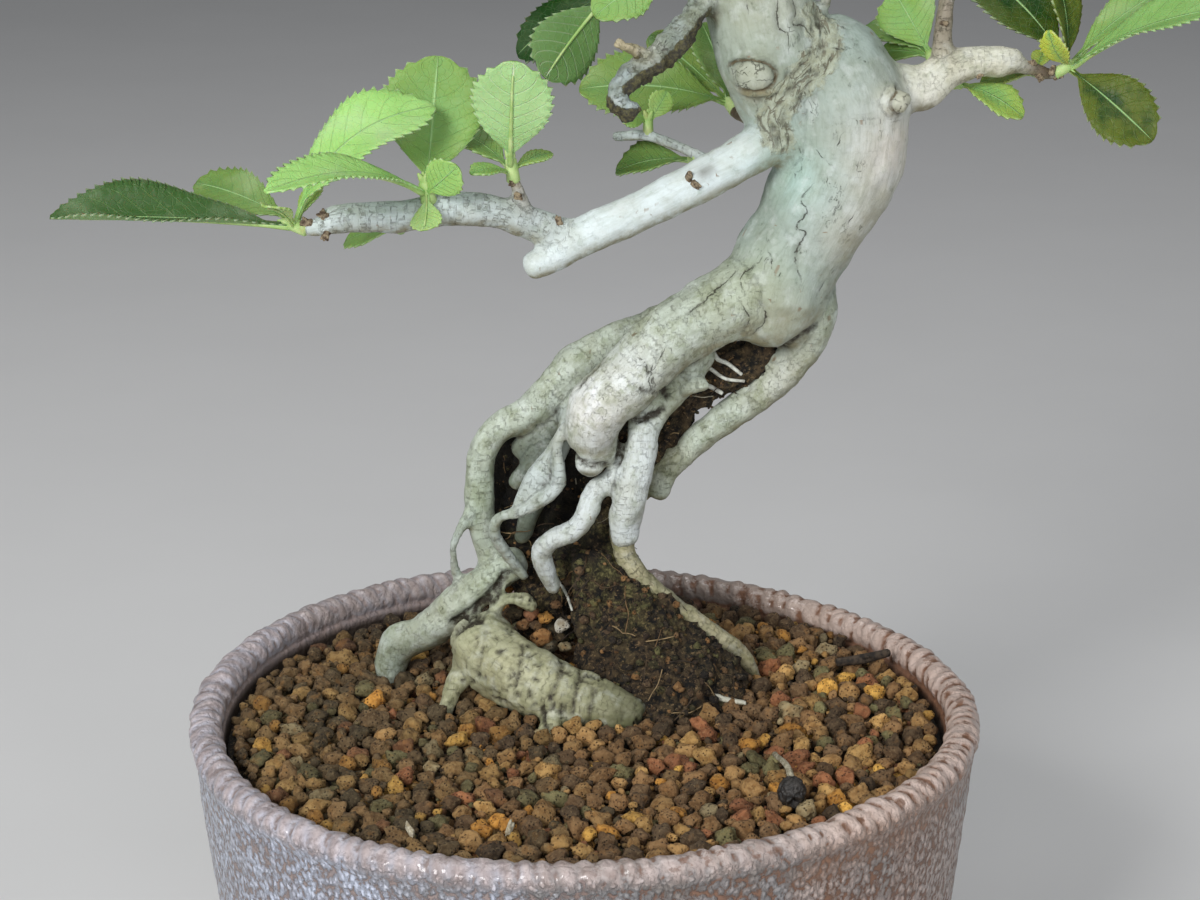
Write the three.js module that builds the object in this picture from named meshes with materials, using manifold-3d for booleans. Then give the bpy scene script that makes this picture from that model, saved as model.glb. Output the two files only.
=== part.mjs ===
// Oriental photinia bonsai: a small tree on exposed roots over an old root ball, in a round stoneware pot.
// Millimetres, +Z up. The origin lies on the table under the centre of the pot; the tree is seen from -Y.
import * as THREE from 'three';
import { mergeVertices } from 'three/addons/utils/BufferGeometryUtils.js';
import loadManifold from 'manifold-3d';

const wasm = await loadManifold();
wasm.setup();

// Driving sizes
const GAP = 0.3;
const POT_RADIUS = 65;
const POT_HEIGHT = 62;
const FOOT_HEIGHT = 5;
const FLOOR_TOP = 10;
const BASE_RADIUS = 58.5;
const WALL_THICKNESS = 5.3;
const RIM_TUBE = 2.7;
const RIM_WAVE = 1.1;
const POT_COLUMNS = 52;
const BEAD_HEIGHT = 0.5;
const DRAIN_RADIUS = 7;
const SOIL_TOP = 57.6;
const GRAIN_SPACING = 4.5;
const BLADE_THICKNESS = 0.7;

// Seeded random numbers in 0..1, so that every run builds the same tree.
function randomFrom(seed) {
  let state = seed;
  return () => {
    state = (state * 1664525 + 1013904223) % 4294967296;
    return state / 4294967296;
  };
}

function solidFrom(geometry) {
  const bare = geometry.clone();
  bare.deleteAttribute('normal');
  bare.deleteAttribute('uv');
  const merged = mergeVertices(bare, 1e-4);
  return new wasm.Manifold(new wasm.Mesh({
    numProp: 3,
    vertProperties: new Float32Array(merged.attributes.position.array),
    triVerts: new Uint32Array(merged.index.array),
  }));
}

function geometryFrom(solid) {
  const mesh = solid.getMesh();
  const geometry = new THREE.BufferGeometry();
  geometry.setAttribute('position', new THREE.BufferAttribute(mesh.vertProperties, 3));
  geometry.setIndex(new THREE.BufferAttribute(mesh.triVerts, 1));
  geometry.computeVertexNormals();
  return geometry;
}

function union(solids) {
  return solids.reduce((whole, next) => whole.add(next));
}

// The largest body of a solid: cutting round the roots can leave crumbs of earth, which are dropped.
function largestBody(solid) {
  return solid.decompose().reduce((best, body) => (body.volume() > best.volume() ? body : best));
}

// A limb: a closed cylinder bent along a smooth curve. Each point is [x, y, z, radius].
function limbGeometry(points, { sides = 8, step = 7, fatter = 0, rough = 0.05, wrinkle = 0 } = {}) {
  const path = points.map(([x, y, z]) => new THREE.Vector3(x, y, z));
  const curve = new THREE.CatmullRomCurve3(path, false, 'centripetal');
  const segments = Math.max(2, Math.round(curve.getLength() / step));
  const frames = curve.computeFrenetFrames(segments, false);
  // A ring of few sides is widened, so that it is as thick as the round limb.
  const roundness = (1 + 1 / Math.cos(Math.PI / sides)) / 2;
  const geometry = new THREE.CylinderGeometry(1, 1, 1, sides, segments);
  const position = geometry.attributes.position;
  const vertex = new THREE.Vector3();
  const place = new THREE.Vector3();
  for (let i = 0; i < position.count; i += 1) {
    vertex.fromBufferAttribute(position, i);
    const along = 0.5 - vertex.y;
    const ring = Math.round(along * segments);
    const spot = curve.getUtoTmapping(along) * (points.length - 1);
    const before = Math.min(points.length - 2, Math.floor(spot));
    const angle = Math.atan2(vertex.z, vertex.x);
    const lump = Math.sin(3 * angle + ring * 0.9) + 0.7 * Math.sin(2 * angle - ring * 1.7);
    const lumps = 1 + rough * lump;
    const folds = 1 + wrinkle * (ring % 2 === 0 ? 1 : -1);
    const plain = THREE.MathUtils.lerp(points[before][3], points[before + 1][3], spot - before);
    const radius = plain * lumps * folds * roundness + fatter;
    place.copy(curve.getPointAt(along));
    if (Math.hypot(vertex.x, vertex.z) < 0.5) {
      // The middle of each end stands proud, so that a cut or blunt end is rounded.
      place.addScaledVector(frames.tangents[ring], (along < 0.5 ? -1 : 1) * (0.45 * plain + fatter));
    } else {
      const taper = ring === 0 || ring === segments ? 0.8 : 1;
      place.addScaledVector(frames.normals[ring], vertex.x * radius * taper);
      place.addScaledVector(frames.binormals[ring], vertex.z * radius * taper);
    }
    position.setXYZ(i, place.x, place.y, place.z);
  }
  return geometry;
}

// The wood: trunk, branches and roots, grown as one piece.
const WOOD = {
  trunk: {
    sides: 10,
    step: 6.5,
    points: [[30, 13, 121.5, 6.2], [31, 13.5, 127, 8.6], [32.5, 14, 132, 9], [35.5, 14, 137, 8.6],
      [38, 14, 142, 9.3], [41, 14, 148, 9.9], [42, 14, 154.5, 10.2], [41.5, 14, 160, 10],
      [39.5, 14, 165.5, 8.2],
      [37.5, 14, 169, 6.2]],
  },
  leader: {
    sides: 8,
    step: 8,
    points: [[34.5, 14, 153.5, 7.2], [32, 14, 160, 8], [30, 14, 166.5, 9], [28, 14, 173, 8.9],
      [26, 14, 179, 7.9],
      [23, 14.5, 187, 6.8], [21.5, 15, 195, 5.8], [22.5, 15.5, 203, 4.8], [26, 15, 210, 3.9],
      [28, 14, 217, 3],
      [27, 13, 223, 2.1], [25, 12.5, 228, 1.3]],
  },
  pruneScar: { sides: 7, step: 3, points: [[27.5, 8, 164.5, 3.8], [26.8, 5.2, 165, 2.9]] },
  pruneKnob: { sides: 5, step: 3, points: [[48, 7, 160.5, 2.3], [50.5, 5, 160.5, 1.6]] },
  deadStub: {
    sides: 5,
    step: 4.5,
    points: [[20, 11, 177, 2.6], [16, 7, 172, 2.1], [12.5, 5, 168.5, 1.9], [9.5, 3, 166.5, 1.8],
      [6.5, 2, 164.5, 1.8], [5, 1, 162, 1.7], [6.5, 0, 160.5, 1.4], [8.5, 0, 161, 1]],
  },
  deadSpur: { sides: 5, points: [[11, 4, 167.5, 1.1], [8, 2, 169.5, 0.9], [6, 1, 170.5, 0.7]] },
  topTwig: { sides: 5, points: [[36, 14, 169, 1.2], [38, 13, 174.5, 0.9], [39.5, 12, 178.5, 0.7]] },
  leftBranch: {
    sides: 7,
    step: 8,
    points: [[34.5, 14, 153.5, 4], [28.5, 10, 152.5, 3.7], [22.5, 8, 149.5, 3.5], [15, 6, 146, 3.3],
      [7, 4, 142.5, 3.3], [0, 3, 139.5, 3.2], [-4.5, 2, 136.8, 2.7], [-8.5, 1, 135, 2.1]],
  },
  leftSecond: {
    sides: 7,
    points: [[1, 4, 139, 2.9], [-4, 3, 140, 2.8], [-8.5, 2, 142, 2.7], [-14, 0, 144.3, 2.7],
      [-21, -2, 145.2, 2.7],
      [-28.5, -3, 144.3, 2.6], [-35, -4, 144.3, 2.5], [-38.5, -5, 144.3, 2.6], [-40.5, -6, 143.5, 1.6],
      [-43, -6, 143, 1.1]],
  },
  leftSpur: {
    sides: 5,
    step: 3,
    points: [[-9, 1, 143.5, 1.4], [-10, 1, 146.5, 1.2], [-11, 1, 149, 1]],
  },
  backTwig: { sides: 5, points: [[33, 17, 153, 1.8], [27, 24, 154, 1.3], [24.5, 29, 154.5, 1.1]] },
  lowTwig: {
    sides: 5,
    points: [[21.5, 8, 149.5, 1.3], [19, 13, 150, 1.1], [14.5, 16, 151.5, 1], [10, 18, 152.5, 1],
      [5, 20, 152, 1]],
  },
  rightBranch: {
    sides: 7,
    step: 5,
    points: [[43, 14, 160.5, 4.8], [49.5, 15, 161, 3.8], [54, 16, 160.5, 3.7], [58, 17, 163, 2.9],
      [62.5, 18, 164.5, 2.6], [67.5, 19, 164.5, 2.5], [70, 19.5, 164.5, 1.9]],
  },
  rightSpur: {
    sides: 5,
    step: 4,
    points: [[69, 19, 164, 1.5], [72.5, 20, 163, 1.2], [75, 20.5, 162, 1.1], [76.5, 21, 162, 0.9]],
  },
  rightTwig: {
    sides: 5,
    points: [[57.5, 17, 163, 1.9], [57.5, 18, 169, 1.5], [58, 19, 174.5, 1.4], [58.5, 20, 181, 1.3],
      [59.5, 21, 187, 1.1], [60, 21, 192, 0.9]],
  },
  hangingTwig: {
    sides: 5,
    points: [[24, 17, 179.5, 1.7], [17, 27, 178.5, 1.3], [11, 30, 177, 1.1], [5.5, 31, 175, 0.9]],
  },
  highLeft: {
    sides: 6,
    step: 8,
    points: [[23, 14, 189, 4], [15, 12, 194, 3], [3, 10, 197.5, 2.5], [-11, 9.5, 199, 2.2],
      [-25, 8, 202, 1.9],
      [-38, 5, 204.5, 1.6], [-52, 3, 205, 1.3], [-64, 2, 206.5, 1]],
  },
  highLeftUpper: {
    sides: 5,
    points: [[-11, 9.5, 199, 1.5], [-14, 11, 206, 1.1], [-15, 12, 211, 0.9]],
  },
  highLeftFront: {
    sides: 5,
    points: [[-30, 7, 203, 1.4], [-33, 0, 206, 1.1], [-35, -4, 209, 0.9]],
  },
  highRight: {
    sides: 6,
    points: [[23, 15, 199, 3.2], [32, 13, 204, 2.4], [42, 10, 208, 2], [52, 9, 210.5, 1.6],
      [59, 8, 213.5, 1]],
  },
  highBack: {
    sides: 5,
    points: [[24, 16, 204, 2.6], [28, 27, 209, 1.9], [32, 37, 212, 1.5], [34, 44, 215, 0.9]],
  },
  highFront: { sides: 5, points: [[26, 13, 210.5, 2], [20, 3, 214, 1.5], [15.5, -5, 217, 0.9]] },
  apexSide: { sides: 5, points: [[27.5, 14, 218, 1.8], [34, 15, 223, 1.2], [37.5, 16, 227, 0.9]] },

  rootBehind: {
    sides: 7,
    step: 6,
    points: [[22, 17.5, 125, 4.4], [15, 21, 121.5, 2.8], [9.5, 22.5, 119, 2.4], [3.5, 22, 116, 3.2],
      [-1, 21, 112.5, 4.2], [-5.5, 20, 108.5, 3.3], [-10, 19, 105, 2.8], [-14, 18.5, 103, 2.7],
      [-16.5, 18, 100, 2.5],
      [-17.5, 18, 95, 2.6], [-17.5, 18, 89.5, 2.7], [-17, 18.5, 84, 2.4], [-15, 19, 78, 2.6]],
  },
  rootElbow: {
    sides: 7,
    step: 6,
    points: [[-11, 18.5, 79.5, 2.3], [-16.5, 19.5, 75, 3.2], [-20.5, 20.5, 71.5, 3.2],
      [-24.5, 21, 67.5, 3.3],
      [-28.5, 21.5, 64.5, 3.1], [-32, 21.5, 63, 3.6], [-33.5, 21, 58.5, 2.8], [-33.5, 21, 54, 1.6]],
  },
  rootFront: {
    sides: 8,
    step: 3.8,
    wrinkle: 0.045,
    points: [[-15.5, 17.5, 72, 4.2], [-17, 11.5, 67.2, 5.9], [-12, 6, 64, 6], [-3.5, 2, 61.5, 5.3],
      [3.5, 0, 60, 4.3], [8.5, -1, 58.6, 3.4]],
  },
  rootFrontSpur: {
    sides: 5,
    points: [[-20, 9.5, 64, 2.2], [-22, 6, 61, 1.8], [-23.5, 3.5, 57, 1.2]],
  },
  rootFrontToe: {
    sides: 6,
    points: [[-4, 1, 60, 3], [-5.5, -3.5, 58.4, 1.8], [-7, -7, 56.5, 0.9]],
  },
  rootRidge: {
    sides: 5,
    points: [[15, 15.5, 99, 1.9], [9.5, 16, 93, 1.7], [6, 16, 88, 1.6], [5.5, 15.5, 82, 1.5],
      [7.5, 16, 77.5, 1.4],
      [11.5, 17, 73.8, 1.3], [16.5, 18, 70.3, 1.2], [21, 18.5, 66.3, 1.2], [25.5, 19, 62, 1.1],
      [29, 19, 56.5, 0.9]],
  },
  rootTip: {
    sides: 5,
    points: [[11.5, 17, 73, 1], [14, 12, 66, 0.9], [18, 7.5, 60.8, 0.8], [22, 4, 60.2, 0.8],
      [27, 2, 60, 0.6]],
  },
  bulge: {
    sides: 10,
    step: 6,
    points: [[28, 12, 128.5, 6.6], [18.5, 10, 124, 5.7], [12, 8, 119.5, 5.3], [7, 7, 114.7, 5.3],
      [2.5, 7, 110, 5.1],
      [1.5, 8, 105.5, 4.5], [3, 10, 101.5, 3.4]],
  },
  bulgeKnob: { sides: 5, step: 3, points: [[1.5, 8.5, 103, 2.8], [0.4, 6.5, 99.5, 2.2]] },
  innerLobe: {
    sides: 6,
    points: [[19, 14, 118, 3.4], [14.5, 13, 112, 3.3], [11, 11, 108.5, 3.1], [9.5, 9.5, 105, 2.6]],
  },
  rootFinger: {
    sides: 7,
    step: 5,
    points: [[9.5, 9.5, 107, 2.3], [9.5, 8, 102.5, 2.6], [8.5, 7.5, 98, 2.8], [7.5, 7.5, 94, 2.8],
      [6.5, 8, 90, 2.6],
      [6.5, 8, 86.5, 2.2]],
  },
  rootRight: {
    sides: 7,
    points: [[35.5, 14, 129, 5.2], [37.5, 14.5, 123, 3.7], [36.5, 15, 118.5, 3.3], [34, 15.5, 115, 3.1],
      [30, 16, 110.5, 3], [25, 16, 106.5, 2.8], [20, 16, 102.5, 2.5], [16.5, 16, 99, 2.2],
      [13.5, 15, 96, 1.9],
      [12.5, 14, 92.5, 1.6]],
  },
  cutRoot: {
    sides: 5,
    step: 4,
    points: [[13, 12.5, 110.5, 1.6], [17, 11, 112, 1.4], [20, 10.5, 113, 1.2]],
  },
  rootThread: {
    sides: 5,
    step: 4.5,
    points: [[0, 9.5, 108, 1.4], [-3.5, 10, 105, 1.1], [-4.5, 10, 102, 1], [-4, 9, 98.5, 1.1],
      [-4.5, 9, 95.5, 1.2],
      [-7.5, 9, 93, 1.2], [-11, 9.5, 91, 1.1], [-14, 10, 90, 1.1], [-15, 11, 87.5, 1.1],
      [-13.5, 12.5, 83.5, 1.1],
      [-11.5, 14, 80, 1], [-10, 15, 77.5, 0.8]],
  },
  rootFlat: {
    sides: 6,
    points: [[-1, 19, 109, 2.2], [-3, 14.5, 103, 1.7], [-5.5, 12.5, 99, 2], [-8.5, 11.5, 95.5, 2.1],
      [-11, 10.5, 91.5, 1.3]],
  },
  innerRootUpper: {
    sides: 6,
    points: [[-3, 20, 106, 2.8], [-7.5, 20, 100.5, 2.8], [-11, 20, 98, 2.1]],
  },
  innerRootMiddle: {
    sides: 6,
    points: [[-5, 19.5, 101.5, 2], [-9, 17, 96, 2.2], [-12, 17, 93.5, 1.5]],
  },
  innerRootLower: {
    sides: 5,
    points: [[-6.5, 18.5, 97, 1.9], [-7.5, 20, 91.5, 2], [-9.5, 20, 86.5, 1.8],
      [-10.5, 19.5, 82.5, 1.2]],
  },
  rootCrooked: {
    sides: 6,
    step: 4.5,
    points: [[9, 10, 102, 1.8], [4, 9.5, 96.5, 1.8], [1.5, 8.5, 94.5, 1.9], [0.5, 8, 91.5, 2],
      [-1.5, 8, 88.5, 1.9],
      [-4.5, 8.5, 87, 1.8], [-7, 9.5, 84.5, 1.8], [-6.5, 11, 80.5, 1.8], [-5, 12.5, 76.5, 1.3]],
  },
  rootSide: {
    sides: 5,
    points: [[-17.5, 17.5, 91.5, 1.4], [-20.5, 16, 86.5, 1], [-22, 16, 82.5, 0.9],
      [-21.5, 18.5, 75, 0.9]],
  },
};

// Earth of the old root ball: a cone under the roots and a dark core that climbs behind them.
const EARTH = {
  cone: {
    sides: 9,
    rough: 0.06,
    points: [[13.5, 12, 46, 14], [12, 12.5, 57, 15.8], [8.5, 13.2, 66, 11.4], [4.5, 14, 74, 7.2],
      [1, 15, 80.5, 4.6]],
  },
  core: {
    sides: 6,
    points: [[3, 16, 76, 5.5], [-3, 23, 85, 5.2], [-3.5, 25, 94, 4.6], [3, 24, 102.5, 4.2],
      [11, 20.5, 108.5, 3.6],
      [19, 18.5, 113, 3], [26, 17, 116, 3], [31, 16, 118.5, 2.4]],
  },
};

// One leaf, from its base to its tip. up is the way the upper face looks, arch the bow of the midrib as a
// share of the length, and fold the angle in degrees by which each half rises from the midrib.
function leaf(base, tip, up, width, arch, fold) {
  return { base, tip, up, width, arch, fold };
}

// Leafy sprays of the lower branches: a green stem and its leaves.
const SPRAYS = {
  spray_left_tip: {
    stem: [[-43, -6, 143, 1.2], [-45.5, -5, 143.6, 1]],
    leaves: [
      leaf([-44.8, -5.2, 143.4], [-82.2, -8, 145.4], [0, -0.65, 0.76], 12.6, 0.02, 45),
      leaf([-45, -4.5, 143.8], [-61.4, 6, 147.6], [-0.3, -0.5, 0.8], 8.6, 0.08, 18),
      leaf([-44.9, -4.4, 143.8], [-23.2, 0.5, 161], [-0.45, -0.62, 0.62], 12.6, 0.22, 12),
      leaf([-44.8, -6, 143.8], [-48.7, -12, 148.2], [-0.3, -0.5, 0.8], 4.5, 0.1, 10),
      leaf([-44.6, -4.5, 144], [-41, -1, 148.8], [-0.4, -0.5, 0.8], 3.4, 0.1, 10),
    ],
  },
  spray_left_middle: {
    stem: [[-24, -4.4, 147, 1.3], [-24.6, -4.8, 150, 1]],
    leaves: [
      leaf([-24.4, -4.6, 148.8], [-22.7, 6, 167.8], [0.05, -1, 0.2], 16, -0.1, 10),
      leaf([-24.8, -5.6, 149], [-46.8, -27.5, 154], [0.35, -0.05, 0.93], 8.4, 0.1, 24),
      leaf([-24.4, -5.4, 148.4], [-19.4, -8.5, 153.4], [0.2, -0.9, 0.3], 6.5, 0.06, 10),
      leaf([-24.2, -5.4, 148], [-24.5, -10.5, 143.8], [0, -0.6, -0.7], 5, 0.1, 10),
    ],
  },
  spray_left_spur: {
    stem: [[-11, 1, 149, 1.1], [-11.4, 1, 152.4, 0.9]],
    leaves: [
      leaf([-11.4, 0.8, 151.8], [-10.6, -6, 169.3], [0.1, 1, 0.2], 12.4, -0.05, 9),
      leaf([-11.6, 1.4, 151], [-20.5, 9, 155.3], [0.3, -0.5, 0.8], 7.5, 0.08, 15),
      leaf([-11.6, 0.8, 150.6], [-17.4, -4, 151.4], [0, -0.3, 0.95], 4.2, 0.08, 12),
      leaf([-11.2, 1.2, 150.8], [-5, 5, 152.6], [0, -0.3, 0.95], 3.6, 0.08, 12),
    ],
  },
  spray_under_left: {
    stem: [[-28, -1.5, 143, 1.1], [-29, 3.5, 140.6, 0.9]],
    leaves: [leaf([-28.8, 2.6, 141], [-38.2, 7.5, 137.6], [0, -0.5, 0.85], 6.6, 0.08, 12)],
  },
  spray_low_twig: {
    stem: [[18.3, 13.5, 150, 0.9], [17.4, 18.5, 148.4, 0.8]],
    leaves: [leaf([17.6, 17.8, 148.6], [5.2, 21, 145.9], [0, -0.5, 0.85], 7.6, 0.1, 24)],
  },
  spray_low_twig_tip: {
    stem: [[10.4, 17.9, 152.6, 0.9], [10.4, 18, 155, 0.8]],
    leaves: [
      leaf([10.2, 18, 154.8], [5.4, 15, 157], [-0.3, -0.7, 0.6], 5, 0.1, 12),
      leaf([10.6, 18, 154.8], [13.4, 19, 159.6], [0.2, -0.8, 0.4], 4, 0.1, 12),
    ],
  },
  spray_back_twig: {
    stem: [[25, 28, 154.4, 1.1], [23.8, 31.5, 155.4, 0.9]],
    leaves: [
      leaf([24.2, 30.8, 155.2], [-0.7, 27.5, 158.3], [0, -0.75, 0.65], 12.5, 0.13, 16),
      leaf([24, 31.4, 155.6], [19.5, 34, 168], [0.6, -0.8, 0.1], 9, 0.06, 14),
      leaf([23.8, 31.4, 155.4], [11, 36.5, 165.5], [0, -0.8, 0.6], 9.5, 0.1, 14),
    ],
  },
  spray_hanging: {
    stem: [[5, 31, 174.6, 1], [3.4, 31, 171.8, 0.9]],
    leaves: [
      leaf([3.8, 30.6, 173], [-6.4, 25, 160.6], [0.35, 0.75, 0.55], 11.5, 0.08, 10),
      leaf([3.6, 31.2, 173], [-11, 35, 162.5], [-0.6, -0.6, 0.5], 9.5, 0.08, 14),
      leaf([3.6, 31.4, 173.2], [-9, 40, 176], [-0.1, -0.4, 0.9], 10, 0.12, 16),
    ],
  },
  spray_hanging_inner: {
    stem: [[13.5, 29, 177.4, 1.1], [13.4, 26.4, 175.6, 0.9]],
    leaves: [leaf([13.4, 27, 176], [1.8, 21, 171.4], [0.1, -0.6, 0.8], 10.5, 0.14, 14)],
  },
  spray_right_tip: {
    stem: [[76.2, 20.9, 162, 1], [79, 21, 163.6, 0.9]],
    leaves: [
      leaf([78.4, 20.8, 162.9], [90.9, 12, 152.9], [-0.35, -0.75, 0.55], 10.5, 0.12, 9),
      leaf([78.6, 20.6, 163.3], [102.9, 10.5, 174.6], [-0.35, -0.3, 0.9], 10, 0.08, 32),
      leaf([78.6, 21.2, 163.5], [98.4, 25, 177], [-0.5, -0.4, 0.75], 10, 0.08, 24),
      leaf([78.3, 20.6, 163.5], [73.9, 15, 169.9], [-0.5, -0.8, 0.2], 4.4, 0.12, 12),
      leaf([78.3, 21.6, 163.6], [76.5, 27.5, 177.5], [0.75, -0.65, 0.1], 8.5, 0.06, 16),
      leaf([78.2, 21.6, 163.3], [63.5, 34, 177], [0.25, -0.75, 0.6], 14, 0.12, 12),
    ],
  },
  spray_right_spur: {
    stem: [[73.6, 20.3, 162.6, 0.9], [73.2, 22.8, 161.8, 0.8]],
    leaves: [
      leaf([73.3, 22.4, 161.8], [64.8, 26, 159.4], [0, -0.6, 0.8], 5.2, 0.1, 14),
      leaf([73.3, 22.6, 162], [75.2, 25.6, 165], [-0.4, -0.8, 0.5], 3.4, 0.1, 12),
    ],
  },
  spray_right_back: {
    stem: [[56.4, 18, 163, 1.1], [56.2, 23.4, 164.8, 0.9]],
    leaves: [
      leaf([56.2, 22.8, 164.8], [51, 31, 173.5], [-0.3, -0.8, 0.5], 10, 0.08, 12),
      leaf([56, 22.8, 164.6], [48.4, 31, 163.4], [-0.2, -0.5, 0.8], 7, 0.08, 16),
      leaf([56.2, 22.8, 164.6], [47.4, 38.5, 167], [-0.2, -0.4, 0.9], 8, 0.1, 16),
    ],
  },
  spray_right_under: {
    stem: [[60.5, 18.5, 162.5, 1], [60.6, 21.2, 160.2, 0.8]],
    leaves: [leaf([60.6, 20.8, 160.5], [70.5, 15.5, 156], [0.1, -0.6, 0.8], 6.4, 0.1, 18)],
  },
};

// Leafy sprays of the crown: leaves set round a shoot tip by a rule. from is the end of the twig, and seed
// starts the random numbers of one spray.
const CROWN_SPRAYS = {
  spray_crown_left_tip: { from: [-64, 2, 206.5], heading: [-1, -0.1, 0.06], count: 5, length: 38, seed: 12 },
  spray_crown_left_upper: { from: [-15, 12, 211], heading: [-0.35, 0.2, 1], count: 4, length: 25, seed: 23 },
  spray_crown_left_front: { from: [-35, -4, 209], heading: [-0.4, -0.8, 0.7], count: 4, length: 24, seed: 3 },
  spray_crown_right_twig: { from: [60, 21, 192], heading: [0.3, 0.15, 1], count: 4, length: 20, seed: 41 },
  spray_crown_right: { from: [59, 8, 213.5], heading: [1, -0.1, 0.4], count: 5, length: 30, seed: 53 },
  spray_crown_back: { from: [34, 44, 215], heading: [0.15, 1, 0.4], count: 3, length: 18, seed: 61 },
  spray_crown_front: { from: [15.5, -5, 217], heading: [-0.4, -1, 0.6], count: 4, length: 25, seed: 71 },
  spray_crown_apex: { from: [25, 12.5, 228], heading: [-0.15, -0.1, 1], count: 4, length: 22, seed: 83 },
  spray_crown_apex_side: { from: [37.5, 16, 227], heading: [0.8, 0.2, 0.8], count: 4, length: 24, seed: 97 },
};

function vector([x, y, z]) {
  return new THREE.Vector3(x, y, z);
}

// Half width of a leaf at a share of its length: a stalk, a wedge, widest past the middle, a short point.
function leafShare(along) {
  const blade = Math.max(0, (along - 0.1) / 0.9);
  return (blade / 0.6) ** 1.1 * ((1 - blade) / 0.4) ** 0.73;
}

// A serrate leaf: a strip of triangles on each side of the midrib, the same on both faces, and a thin rim.
function leafGeometry({ base, tip, width, up, arch, fold }) {
  const start = vector(base);
  const chord = vector(tip).sub(start);
  const length = chord.length();
  const ahead = chord.clone().normalize();
  const above = vector(up).addScaledVector(ahead, -vector(up).dot(ahead)).normalize();
  const across = ahead.clone().cross(above);
  const ribs = length > 33 ? 4 : length > 12 ? 3 : 2;
  const edges = 2 * ribs;
  const foldAngle = THREE.MathUtils.degToRad(fold);
  const stalk = 0.55;

  function surfacePoint(along, sideways) {
    const bow = length * arch * 4 * along * (1 - along);
    return start.clone()
      .addScaledVector(ahead, length * along)
      .addScaledVector(above, bow + Math.abs(sideways) * Math.sin(foldAngle))
      .addScaledVector(across, sideways * Math.cos(foldAngle));
  }

  const top = [];
  for (let i = 0; i <= ribs; i += 1) {
    top.push(surfacePoint(i / ribs, 0));
  }
  for (const side of [-1, 1]) {
    for (let i = 0; i < edges; i += 1) {
      const tooth = i % 2 === 1;
      const along = Math.min(0.97, i / edges + (tooth ? 0.03 : 0));
      const half = Math.max(stalk, 0.5 * width * leafShare(along) * (tooth ? 1.12 : 0.88));
      top.push(surfacePoint(along, side * half));
    }
  }

  const left = (i) => (i === edges ? ribs : ribs + 1 + i);
  const right = (i) => (i === edges ? ribs : ribs + 1 + edges + i);
  const face = [];
  for (let i = 0; i < ribs; i += 1) {
    for (const [edge, flip] of [[left, false], [right, true]]) {
      const [near, middle, far] = [edge(2 * i), edge(2 * i + 1), edge(2 * i + 2)];
      const strip = [[i, near, middle], [i, middle, i + 1], [i + 1, middle, far]];
      const whole = strip.filter(([a, b, c]) => a !== b && b !== c && a !== c);
      whole.forEach(([a, b, c]) => face.push(flip ? [a, c, b] : [a, b, c]));
    }
  }
  const outline = [];
  for (let i = 0; i <= edges; i += 1) {
    outline.push(left(i));
  }
  for (let i = edges - 1; i >= 0; i -= 1) {
    outline.push(right(i));
  }
  outline.push(0);

  const count = top.length;
  const drop = above.clone().multiplyScalar(-BLADE_THICKNESS / Math.cos(foldAngle));
  const points = [...top, ...top.map((point) => point.clone().add(drop))];
  const index = [];
  face.forEach(([a, b, c]) => index.push(a, c, b, a + count, b + count, c + count));
  outline.forEach((a, i) => {
    const b = outline[(i + 1) % outline.length];
    index.push(a, b, b + count, a, b + count, a + count);
  });
  return new THREE.BufferGeometry().setFromPoints(points).setIndex(index);
}

// Leaves of a crown spray, turned by the golden angle round the shoot and opening with each step down.
function crownSpray({ from, heading, count, length, seed }) {
  const random = randomFrom(seed);
  const goldenAngle = THREE.MathUtils.degToRad(137.5);
  const shoot = vector(heading).normalize();
  const sideways = new THREE.Vector3(0, 0, 1).cross(shoot);
  const side = (sideways.length() > 0.3 ? sideways : new THREE.Vector3(1, 0, 0)).normalize();
  const start = vector(from);
  const end = start.clone().addScaledVector(shoot, 0.6 + 1.5 * count);
  const leaves = [];
  for (let i = 0; i < count; i += 1) {
    const opening = THREE.MathUtils.degToRad(22 + (48 * i) / count);
    const out = side.clone().applyAxisAngle(shoot, goldenAngle * i + random());
    const way = shoot.clone().multiplyScalar(Math.cos(opening)).addScaledVector(out, Math.sin(opening));
    way.z += 0.15;
    way.normalize();
    const reach = length * (1 - 0.08 * i) * (0.9 + 0.2 * random());
    const base = end.clone().addScaledVector(shoot, -0.8 - i * 1.5).addScaledVector(out, 0.4);
    const tip = base.clone().addScaledVector(way, reach);
    const up = shoot.clone().addScaledVector(out, -0.6);
    up.z += 0.9;
    leaves.push(leaf(base.toArray(), tip.toArray(), up.toArray(), reach * 0.46, 0.1, 14 + 10 * random()));
  }
  return { stem: [[...start.toArray(), 1], [...end.toArray(), 0.8]], leaves };
}

function sprayOf({ stem, leaves }, woodWithGap) {
  const stalk = solidFrom(limbGeometry(stem, { sides: 5, step: 20, rough: 0 }));
  const blades = leaves.map((blade) => solidFrom(leafGeometry(blade)));
  return union([stalk, ...blades]).subtract(woodWithGap);
}

function limbs(group, fatter) {
  const solids = Object.values(group).map((limb) => limbGeometry(limb.points, { ...limb, fatter }));
  return union(solids.map(solidFrom));
}

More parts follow.
